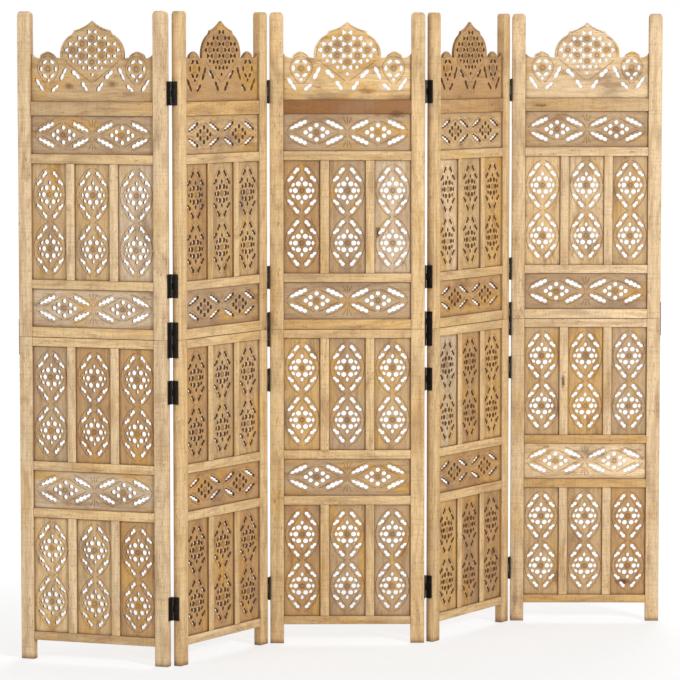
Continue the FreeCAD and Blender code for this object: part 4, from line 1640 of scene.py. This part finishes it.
@dataclass
class PiercedBoard:
    """A board whose holes are set out, filled round and walled by Geometry Nodes.

    Attributes:
        rim: Width and depth of the chamfer round the holes and the edge.
        weld: Distance within which points become one.
        wall_shade: Painted shade on the walls of the holes, 0 to 1.
        stroke_shade: Painted shade in the lines, 0 to 1.
        boss_rise: Height of the bosses.
        boss_radii: Radii of a boss's rings from its foot to its top, as shares of its own.
        boss_rises: Heights of those rings, as shares of the boss's height.
        boss_shades: Painted shade on those rings, darkest in the grooves, 0 to 1.
    """

    name: str
    pattern: FretPattern | BandPattern | CrownPattern
    sizes: ScreenSizes = field(default_factory=ScreenSizes)
    rim: float = 0.0005
    weld: float = 0.00001
    # Painted shade on the hole walls, in the lines' beds and in the boss's grooves.
    wall_shade: float = 0.9
    stroke_depth: float = 0.0009
    stroke_shade: float = 1.0
    boss_rise: float = 0.0015
    boss_sides: int = 14
    boss_radii: tuple[float, ...] = (1.0, 0.92, 0.78, 0.62, 0.5, 0.3, 0.1)
    boss_rises: tuple[float, ...] = (-0.1, 0.75, 1.0, 0.3, 0.3, 0.95, 1.05)
    boss_shades: tuple[float, ...] = (1.0, 0.5, 0.25, 0.95, 1.0, 0.45, 0.35)

    @property
    def half(self) -> float:
        """Half of the board's thickness."""
        return self.sizes.board_thickness / 2

    def tree(self) -> NodeTree:
        """Builds the tree: faces filled between the loops, a wall in each loop, and the bosses.

        Returns:
            The tree.
        """
        tree = NodeTree("pierce_" + self.name)
        loops = tree.entry("Loops", "NodeSocketCollection")
        walls = tree.entry("Walls", "NodeSocketCollection")
        boss = tree.entry("Boss", "NodeSocketObject")
        thickness = tree.entry("Thickness", "NodeSocketFloat")
        weld = tree.entry("Weld", "NodeSocketFloat")
        material = tree.entry("Finish", "NodeSocketMaterial")
        parts = tree.add("GeometryNodeSeparateGeometry", {
            "Geometry": tree.source.outputs["Geometry"],
            "Selection": tree.attribute("is_boss", "BOOLEAN")}, domain="POINT")
        turn = tree.add("ShaderNodeCombineXYZ", {"Z": tree.attribute("turn", "FLOAT")})

        def set_out(collection: Socket) -> Socket:
            """Sets a collection's templates out on the hole points, by their kind.

            Args:
                collection: The templates.

            Returns:
                Their geometry.
            """
            source = tree.add("GeometryNodeCollectionInfo", {
                "Collection": collection, "Separate Children": True,
                "Reset Children": True}, transform_space="ORIGINAL")
            templates = tree.add("GeometryNodeInstanceOnPoints", {
                "Points": parts.outputs["Inverted"], "Instance": source.outputs["Instances"],
                "Pick Instance": True, "Instance Index": tree.attribute("kind", "INT"),
                "Rotation": turn.outputs["Vector"]})
            return tree.realized(templates.outputs["Instances"])

        fill = tree.add("GeometryNodeFillCurve", {"Curve": set_out(loops)})
        faces = []
        for half in (0.5, -0.5):
            offset = tree.add("ShaderNodeCombineXYZ", {"Z": tree.math("MULTIPLY", thickness, half)})
            shift = tree.add("GeometryNodeTransform", {
                "Geometry": fill.outputs["Mesh"], "Translation": offset.outputs["Vector"]})
            faces.append(shift.outputs["Geometry"])
        welded = tree.add("GeometryNodeMergeByDistance", {
            "Geometry": tree.joined(*faces, set_out(walls)), "Distance": weld})
        carving = tree.add("GeometryNodeObjectInfo", {"Object": boss})
        bosses = tree.add("GeometryNodeInstanceOnPoints", {
            "Points": parts.outputs["Selection"], "Instance": carving.outputs["Geometry"],
            "Scale": tree.attribute("boss", "FLOAT_VECTOR")})
        tree.ends_in(tree.joined(welded.outputs["Geometry"], bosses.outputs["Instances"]), material)
        return tree

    def template(self, name: str, points: list[Point], faces: Faces,
                 painted_shades: Iterable[float]) -> Object:
        """Makes a template that the tree sets out.

        Args:
            name: Name of the template.
            points: Its points.
            faces: Its faces.
            painted_shades: Painted shade at each point.

        Returns:
            The template.
        """
        mesh = plain_mesh(name, points, faces)
        # The carved attribute carries painted shade.
        fill_attribute(mesh, "carved", "FLOAT", painted_shades)
        return bpy.data.objects.new(name, mesh)

    def boss_template(self) -> Object:
        """Makes a carved boss of unit radius and height on the board's face: a ring round a button, with
        painted shade in its grooves.

        Returns:
            The template.
        """
        levels, count = len(self.boss_radii), self.boss_sides
        points = [(*corner, rise) for radius, rise in zip(self.boss_radii, self.boss_rises)
                  for corner in circle(radius, count)]
        top = tuple(range((levels - 1) * count, levels * count))
        return self.template("boss", points, [*ring_faces(levels, count), top],
                             np.repeat(self.boss_shades, count))

    def loop_template(self, name: str, loop: Loop) -> Object:
        """Makes a closed flat curve of a loop.

        Args:
            name: Name of the template.
            loop: The loop.

        Returns:
            The template.
        """
        curve = bpy.data.curves.new(name, "CURVE")
        curve.dimensions = "3D"
        spline = curve.splines.new("POLY")
        spline.points.add(len(loop) - 1)
        for point, (x, z) in zip(spline.points, loop):
            point.co = (x, z, 0, 1)
        spline.use_cyclic_u = True
        return bpy.data.objects.new(name, curve)

    def stroke_template(self, name: str, stroke: Stroke) -> Object:
        """Makes a line's hollow in both faces of the board, deepest along the line's path.

        Args:
            name: Name of the template.
            stroke: The line.

        Returns:
            The template.
        """
        rim = stroke.loop()
        bed = np.array(stroke.path)[1:-1]
        inner = range(len(bed))
        points, faces = [], []
        for face in (1, -1):
            start = len(points)
            points += [(x, z, face * self.half) for x, z in rim]
            floor = len(points)
            points += [(x, z, face * (self.half - self.stroke_depth)) for x, z in bed]
            first, last = start, start + len(bed) + 1
            beds = [floor + step for step in inner]
            right = [first + 1 + step for step in inner]
            left = [floor - 1 - step for step in inner]
            for side in (left, right):
                faces += [(side[step], side[step + 1], beds[step + 1], beds[step]) for step in inner[:-1]]
                faces += [(first, side[0], beds[0]), (last, side[-1], beds[-1])]
        # Painted shade along the line's bed, none at its rim.
        painted_shades = [0.0] * len(rim) + [self.stroke_shade] * len(bed)
        return self.template(name, points, faces, painted_shades * 2)

    def wall_template(self, name: str, face_loop: Loop, wall_loop: Loop) -> Object:
        """Makes the wall between the two faces, with a chamfer at each.

        Args:
            name: Name of the template.
            face_loop: Edge of the hole in the faces.
            wall_loop: Edge of the hole between them.

        Returns:
            The template.
        """
        inner = self.half - self.rim
        levels = ((face_loop, self.half), (wall_loop, inner), (wall_loop, -inner), (face_loop, -self.half))
        # Painted shade on the wall, none at the faces' edges.
        painted_shades = (0.0, self.wall_shade, self.wall_shade, 0.0)
        points = [(x, z, level) for loop, level in levels for x, z in loop]
        count = len(wall_loop)
        return self.template(name, points, ring_faces(len(levels), count), np.repeat(painted_shades, count))

    def add_templates(self, kinds: list[Hole | Stroke], loops: Collection,
                      walls: Collection) -> None:
        """Makes the loop and the wall of the board's edge and of each kind of hole and line.

        Args:
            kinds: The holes and lines.
            loops: Collection that gets the loops.
            walls: Collection that gets the walls.
        """
        for index, kind in enumerate([None, *kinds]):
            loop_name, wall_name = ["%s_%s_%02d" % (what, self.name, index) for what in ("loop", "wall")]
            if isinstance(kind, Stroke):
                loops.objects.link(self.loop_template(loop_name, kind.loop()))
                walls.objects.link(self.stroke_template(wall_name, kind))
                continue
            wall_loop = kind.loop() if kind else self.pattern.outline()
            face_loop = grown(wall_loop, self.rim if kind else -self.rim)
            loops.objects.link(self.loop_template(loop_name, face_loop))
            walls.objects.link(self.wall_template(wall_name, face_loop, wall_loop))

    def place_mesh(self, places: list[HolePlace], kinds: list[Hole | Stroke]) -> Mesh:
        """Makes a mesh of points: the board's edge at the origin, then every hole, line and boss.

        Args:
            places: The holes, lines and bosses.
            kinds: Their kinds of holes and lines.

        Returns:
            The mesh.
        """
        points = [(0, 0, 0)] + [(p.x, p.z, self.half if p.boss else 0) for p in places]
        mesh = plain_mesh("places_" + self.name, points, [])
        numbers = [kinds.index(p.hole) + 1 if p.hole else 0 for p in places]
        scales = [(p.boss, p.boss, self.boss_rise) for p in places]
        fill_attribute(mesh, "kind", "INT", [0] + numbers)
        fill_attribute(mesh, "turn", "FLOAT", [0] + [math.radians(p.turn) for p in places])
        fill_attribute(mesh, "is_boss", "BOOLEAN", [False] + [p.boss > 0 for p in places])
        fill_attribute(mesh, "boss", "FLOAT_VECTOR", [(1, 1, 1)] + scales)
        return mesh

    def build(self, material: Material) -> Board:
        """Builds the board.

        Args:
            material: Its finish.

        Returns:
            Its points about its own origin as (across, inwards, up), its faces, and the painted shade at each
            corner of each face.
        """
        places = self.pattern.places()
        kinds = list(dict.fromkeys(place.hole for place in places if place.hole))
        loops, walls = [bpy.data.collections.new(what + self.name) for what in ("loops_", "walls_")]
        self.add_templates(kinds, loops, walls)
        boss = self.boss_template()
        made = self.tree().run(self.place_mesh(places, kinds), {
            "Loops": loops, "Walls": walls, "Boss": boss, "Finish": material,
            "Thickness": self.sizes.board_thickness, "Weld": self.weld})
        shape = bmesh.new()
        shape.from_mesh(made)
        bmesh.ops.recalc_face_normals(shape, faces=shape.faces)
        shape.verts.index_update()
        flat = np.array([v.co for v in shape.verts])
        faces = [tuple(v.index for v in f.verts) for f in shape.faces]
        shape.free()
        # Painted shade, read back from the templates' carved attribute.
        carved = np.zeros(len(flat), np.float32)
        made.attributes["carved"].data.foreach_get("value", carved)
        for template in [*loops.objects, *walls.objects, boss]:
            bpy.data.objects.remove(template)
        painted_shades = np.array([carved[index] for face in faces for index in face])
        return np.column_stack((flat[:, 0], self.half - flat[:, 2], flat[:, 1])), faces, painted_shades


@dataclass
class CarvedBoards:
    """Frets, bands and crown of one panel, set in their openings."""

    number: int
    place: PanelPlace
    tones: PanelTones
    wood: Material
    fret: Board
    band: Board
    crown: Board
    sizes: ScreenSizes = field(default_factory=ScreenSizes)
    slot: str = "carved_wood"

    def set_in(self, mesh: PieceMesh, board: Board, x: float, z: float, grain: Grain, tone: Tone) -> None:
        """Sets a board at a place of the panel, at the depth of the grooves.

        Args:
            mesh: Mesh that gets the board.
            board: The board.
            x: Its place across.
            z: Its place up.
            grain: Direction of its grain.
            tone: Its tone.
        """
        front = (self.sizes.post_depth - self.sizes.board_thickness) / 2
        points, faces, painted_shades = board
        mesh.add((points + np.array((x, front, z)), faces, painted_shades), grain, tone)

    def build(self) -> None:
        """Builds the three sets of boards."""
        size = self.sizes
        frets, bands, crown = [PieceMesh(self.place, self.number, part)
                               for part in (Part.FRETS, Part.BANDS, Part.CROWN)]
        fret_rows, band_rows = iter(self.tones.frets), iter(self.tones.bands)
        for row, bottom in size.row_levels():
            middle = bottom + size.row_height(row) / 2
            if row is Row.BAND:
                self.set_in(bands, self.band, size.panel_width / 2, middle, Grain.LEVEL, next(band_rows))
                continue
            for index, tone in enumerate(next(fret_rows)):
                x = size.post_width + size.fret_width / 2 + index * (size.fret_width + size.muntin_width)
                self.set_in(frets, self.fret, x, middle, Grain.UPRIGHT, tone)
        self.set_in(crown, self.crown, size.panel_width / 2, size.crown_base, Grain.LEVEL, self.tones.crown)
        for mesh in (frets, bands, crown):
            mesh.finish("carved", self.slot, self.wood)


@dataclass
class Hardware:
    """Black hinges, end plates and the screws that hold them, and the bare dowels.

    Attributes:
        hinge_height_shares: Heights of the short hinges, as shares of the panel's.
        long_leaf: Height of a long leaf or plate across the seam.
        screw_inset: Depth of the hinge screws from the face that carries the hinge's pin.
        short_screw_shares: Heights of a short leaf's screws from its middle, as shares of the leaf.
        long_screw_shares: Heights of a long leaf's screws from its middle, as shares of the leaf.
        recess_width_share: Half width of the cross recess, as a share of the radius.
        recess_reach_share: Half length of the cross recess, as a share of the radius.
        recess_depth_share: Depth of the cross recess, as a share of the head's depth.
        shank_share: Length of head and shank, as a share of the head's depth.
    """

    paint: Material
    bare_wood: Material
    sizes: ScreenSizes = field(default_factory=ScreenSizes)
    hinge_height_shares: tuple[float, ...] = (0.0885, 0.4212, 0.5836, 0.8758)
    short_leaf: float = 0.060
    long_leaf: float = 0.090
    leaf_thickness: float = 0.0015
    screw_inset: float = 0.009
    short_screw_shares: tuple[float, ...] = (-0.3, 0.3)
    long_screw_shares: tuple[float, ...] = (-0.42, -0.222, 0.222, 0.42)
    head_radius: float = 0.003
    recess_width_share: float = 0.22
    recess_reach_share: float = 0.66
    recess_depth_share: float = 0.7
    shank_share: float = 4.0
    slot: str = "black_steel"

    def heights(self) -> list[float]:
        """Lists the screws in one side that carries hinges.

        Returns:
            Their heights.
        """
        middles = [share * self.sizes.panel_height for share in self.hinge_height_shares]
        short = [middle + share * self.short_leaf for middle in middles for share in self.short_screw_shares]
        return short + self.seam_heights()

    def seam_heights(self) -> list[float]:
        """Heights of the screws in a plate across the seam."""
        return [self.sizes.seam + share * self.long_leaf for share in self.long_screw_shares]

    def side_screws(self, number: int, is_right: bool, panels: int) -> list[Pair]:
        """Lists the screws in one side of a panel.

        Args:
            number: Number of the panel.
            is_right: Whether it is the right side.
            panels: Number of panels.

        Returns:
            Their depths and heights.
        """
        joint = number if is_right else number - 1
        depth = self.sizes.post_depth
        if not 0 < joint < panels:
            return [(depth / 2, height) for height in self.seam_heights()]
        folds_back = joint % 2 == 1
        inset = depth - self.screw_inset if folds_back else self.screw_inset
        return [(inset, height) for height in self.heights()]

    def head_template(self) -> Object:
        """Makes a countersunk head along +Z, its top at z = 0, with a cross recess and a short shank.

        Returns:
            The template.
        """
        radius, depth = self.head_radius, self.leaf_thickness
        half, reach = self.recess_width_share * radius, self.recess_reach_share * radius
        recess = [(reach, -half), (reach, half), (half, half)]
        for _ in range(3):
            recess += [(-y, x) for x, y in recess[-3:]]
        sides = len(recess)
        head, shank = circle(radius, sides), circle(radius / 2, sides)
        shape = bmesh.new()
        rim, cross, floor, neck, tip = [[shape.verts.new((x, y, z)) for x, y in loop] for loop, z in (
            (head, 0), (recess, 0), (recess, -self.recess_depth_share * depth),
            (shank, -depth), (shank, -self.shank_share * depth))]
        for step in range(sides):
            after = (step + 1) % sides
            for outer, inner in ((rim, cross), (cross, floor), (neck, rim), (tip, neck)):
                shape.faces.new((outer[step], outer[after], inner[after], inner[step]))
        shape.faces.new(floor)
        shape.faces.new(tip[::-1])
        bmesh.ops.recalc_face_normals(shape, faces=shape.faces)
        mesh = bpy.data.meshes.new("screw_head")
        shape.to_mesh(mesh)
        shape.free()
        return bpy.data.objects.new("screw_head", mesh)

    def tree(self) -> NodeTree:
        """Builds the tree that sets screws out on points, each facing out and turned by chance.

        Returns:
            The tree.
        """
        tree = NodeTree("screws")
        head = tree.entry("Head", "NodeSocketObject")
        seed = tree.entry("Seed", "NodeSocketInt")
        material = tree.entry("Finish", "NodeSocketMaterial")
        source = tree.add("GeometryNodeObjectInfo", {"Object": head})
        spin = tree.add("FunctionNodeRandomValue", {"Max": math.pi, "Seed": seed}, data_type="FLOAT")
        turned = tree.add("ShaderNodeCombineXYZ", {"Z": spin.outputs["Value"]})
        facing = tree.add("FunctionNodeAlignRotationToVector", {
            "Vector": tree.attribute("facing", "FLOAT_VECTOR")}, axis="Z")
        both = tree.add("FunctionNodeRotateRotation", {
            "Rotation": facing.outputs["Rotation"],
            "Rotate By": turned.outputs["Vector"]}, rotation_space="LOCAL")
        screws = tree.add("GeometryNodeInstanceOnPoints", {
            "Points": tree.source.outputs["Geometry"], "Instance": source.outputs["Geometry"],
            "Rotation": both.outputs["Rotation"]})
        tree.ends_in(screws.outputs["Instances"], material)
        return tree

    def build_screws(self, places: list[PanelPlace]) -> None:
        """Builds the screws of every panel.

        Args:
            places: Where the panels stand, in order.
        """
        tree, head = self.tree(), self.head_template()
        for number, place in enumerate(places, 1):
            points, facing = [], []
            for is_right in (False, True):
                x = self.sizes.panel_width + self.leaf_thickness if is_right else -self.leaf_thickness
                screws = self.side_screws(number, is_right, len(places))
                points += [(x, depth, height) for depth, height in screws]
                out = place.along if is_right else -place.along
                facing += [(*out, 0.0)] * len(screws)
            mesh = plain_mesh("screw_places", place.to_row(np.array(points)).tolist(), [])
            fill_attribute(mesh, "facing", "FLOAT_VECTOR", facing)
            made = tree.run(mesh, {"Head": head, "Seed": number, "Finish": self.paint})
            node = "panel_%d_screws" % number
            made.name = node + "_heads"
            piece = placed(made.name, made)
            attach(piece, "panel_%d" % number)
            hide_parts(node)
            LOG.info("%s: %d screws", piece.name, len(points))
        bpy.data.objects.remove(head)

    def dress(self, nodes: Mapping[str, Object]) -> None:
        """Paints the hinge leaves, pins and plates, and leaves the dowels in bare wood.

        Args:
            nodes: Nodes of the frame, by name.
        """
        for name, node in nodes.items():
            is_dowel = name.endswith("dowels")
            if is_dowel or name.startswith(("hinge", "end_plate")):
                node.data.materials.clear()
                node.data.materials.append(self.bare_wood if is_dowel else self.paint)
                LOG.info("%s: dressed", name)


@dataclass(frozen=True)
class Lamp:
    """A soft round lamp.

    Attributes:
        aim: Point that it lights.
        size: Diameter in metres.
        power: Power in watts.
    """

    name: str
    place: Point
    aim: Point
    size: float
    power: float

    def build(self) -> None:
        """Hangs the lamp and turns it to what it lights."""
        light = bpy.data.lights.new(self.name, "AREA")
        light.shape = "DISK"
        light.size = self.size
        light.energy = self.power
        lamp = placed(self.name, light)
        lamp.location = self.place
        lamp.rotation_mode = "QUATERNION"
        lamp.rotation_quaternion = (Vector(self.aim) - Vector(self.place)).to_track_quat("-Z", "Y")


@dataclass
class Studio:
    """White studio: floor, soft lamps, sky light and the camera.

    Attributes:
        lens: Focal length in millimetres.
        sensor_width: Width of the camera's sensor in millimetres.
        camera_pitch: How far it looks up, in degrees.
        camera_yaw: How far it is turned to the left, in degrees.
        view_reach: Distance up to which the camera sees.
        white: Colour of the sky and of the floor far from the object.
        sky_strength: Strength of the sky's light on the object.
        floor_colour: Colour of the floor where it takes shadow.
        floor_light: Light of the open floor that its own glow brings up to white.
        shadow_share: Share of the shadow that shows near the object.
        shadow_reach: Distances from the middle over which the shadow fades out.
    """

    lens: float = 184.7
    sensor_width: float = 36.0
    camera_place: Point = (-0.1789, -9.076, 1.5593)
    camera_pitch: float = -4.793
    camera_yaw: float = -0.954
    view_reach: float = 200.0
    white: Colour = (1.0, 1.0, 1.0)
    sky_strength: float = 0.42
    floor_reach: float = 60.0
    floor_colour: Colour = (0.92, 0.92, 0.92)
    floor_light: float = 0.88
    shadow_share: float = 0.4
    shadow_reach: Pair = (0.8, 2.2)
    lamps: tuple[Lamp, ...] = (
        Lamp("key", (4.4, -6.0, 3.2), (0.0, 0.0, 0.8), 1.6, 345.0),
        Lamp("fill", (-4.5, -4.0, 2.2), (0.0, 0.0, 0.8), 3.2, 80.0),
        Lamp("back", (1.2, 5.6, 4.4), (0.0, 0.0, 0.9), 4.0, 240.0),
    )

    def build_camera(self) -> None:
        """Sets up the camera where the photograph was taken from."""
        data = bpy.data.cameras.new("camera")
        data.lens = self.lens
        data.sensor_width = self.sensor_width
        data.clip_end = self.view_reach
        camera = placed("camera", data)
        camera.location = self.camera_place
        camera.rotation_euler = (math.radians(90 + self.camera_pitch), 0, math.radians(self.camera_yaw))
        bpy.context.scene.camera = camera

    def seen_rays(self, nodes: Nodes) -> Socket:
        """Adds nodes that tell rays that show the background from rays that light the object.

        Args:
            nodes: Tree that gets the nodes.

        Returns:
            1 for rays that show the background, 0 for the others.
        """
        path = nodes.add("ShaderNodeLightPath")
        seen = path.outputs["Is Camera Ray"]
        for name in ("Is Glossy Ray", "Is Transmission Ray"):
            seen = nodes.math("MAXIMUM", seen, path.outputs[name])
        return seen

    def build_sky(self) -> None:
        """Makes the sky white where it is seen and a soft light elsewhere."""
        world = bpy.data.worlds.new("studio")
        bpy.context.scene.world = world
        world.use_nodes = True
        nodes = Nodes(world.node_tree)
        strength = nodes.add("ShaderNodeMapRange", {
            "Value": self.seen_rays(nodes), "To Min": self.sky_strength, "To Max": 1.0})
        sky = nodes.add("ShaderNodeBackground", {
            "Color": self.white, "Strength": strength.outputs["Result"]})
        nodes.add("ShaderNodeOutputWorld", {"Surface": sky.outputs["Background"]})

    def floor_material(self) -> Material:
        """Makes a white finish that keeps a soft shadow near the object and fades to white.

        Returns:
            The material.
        """
        material = bpy.data.materials.new("floor")
        material.use_nodes = True
        nodes = Nodes(material.node_tree)
        fade = nodes.spread(nodes.length(nodes.place()), self.shadow_reach, (1 - self.shadow_share, 1.0))
        seen = nodes.math("MULTIPLY", fade, self.seen_rays(nodes))
        matt = nodes.add("ShaderNodeBsdfDiffuse", {"Color": self.floor_colour})
        strength = (1 - self.shadow_share * self.floor_light) / (1 - self.shadow_share)
        glow = nodes.add("ShaderNodeEmission", {"Color": self.white, "Strength": strength})
        mix = nodes.add("ShaderNodeMixShader", {
            "Fac": seen, 1: matt.outputs["BSDF"], 2: glow.outputs["Emission"]})
        nodes.add("ShaderNodeOutputMaterial", {"Surface": mix.outputs["Shader"]})
        return material

    def build_floor(self) -> None:
        """Lays the white floor."""
        reach = self.floor_reach
        points = [(-reach, -reach, 0), (reach, -reach, 0), (reach, reach, 0), (-reach, reach, 0)]
        floor = placed("floor", plain_mesh("floor", points, [(0, 1, 2, 3)]))
        floor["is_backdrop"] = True
        floor.data.materials.append(self.floor_material())

    def build(self) -> None:
        """Builds the studio."""
        bpy.context.scene.view_settings.view_transform = "Standard"
        self.build_camera()
        self.build_sky()
        self.build_floor()
        for lamp in self.lamps:
            lamp.build()


def corners(pair: tuple[Vector, Vector]) -> list[list[float]]:
    """Turns two corner points into plain lists."""
    return [list(point) for point in pair]


def main() -> None:
    """Builds the screen's looks on the frame, panel by panel, and the studio round it."""
    logging.basicConfig(level=logging.INFO, format="%(message)s")
    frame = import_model()
    measured = {"frame": corners(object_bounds())}
    nodes = frame["nodes"]
    places = [PanelPlace.of_posts(nodes["panel_%d_lower_posts" % number])
              for number in range(1, len(PANEL_TONES) + 1)]
    spots = tuple((knot, places[knot.panel - 1].point(knot.across, knot.inward, knot.height))
                  for knot in KNOTS)
    frame_wood = Timber("frame_timber", spots=spots).material()
    # The carved boards take stronger painted shade and dirt in their holes and lines.
    carved_wood = Timber("carved_timber", spots=spots, patch=0.82, fleck=0.42, saw=0.07, shade_and_dirt=0.86).material()
    paint = BlackPaint().material()
    boards = [PiercedBoard(name, pattern).build(carved_wood) for name, pattern in (
        ("fret", FretPattern()), ("band", BandPattern()), ("crown", CrownPattern()))]
    for number, (place, tones) in enumerate(zip(places, PANEL_TONES), 1):
        TimberFrame(number, place, tones, frame_wood).build()
        CarvedBoards(number, place, tones, carved_wood, *boards).build()
    # The hidden dowels take no painted shade and dirt.
    hardware = Hardware(paint, Timber("dowel_timber", shade_and_dirt=0.0, plain_tone=Tone.STRAW).material())
    hardware.dress(nodes)
    hardware.build_screws(places)
    Studio().build()
    measured["dressed"] = corners(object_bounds())


if __name__ == "__main__":
    main()
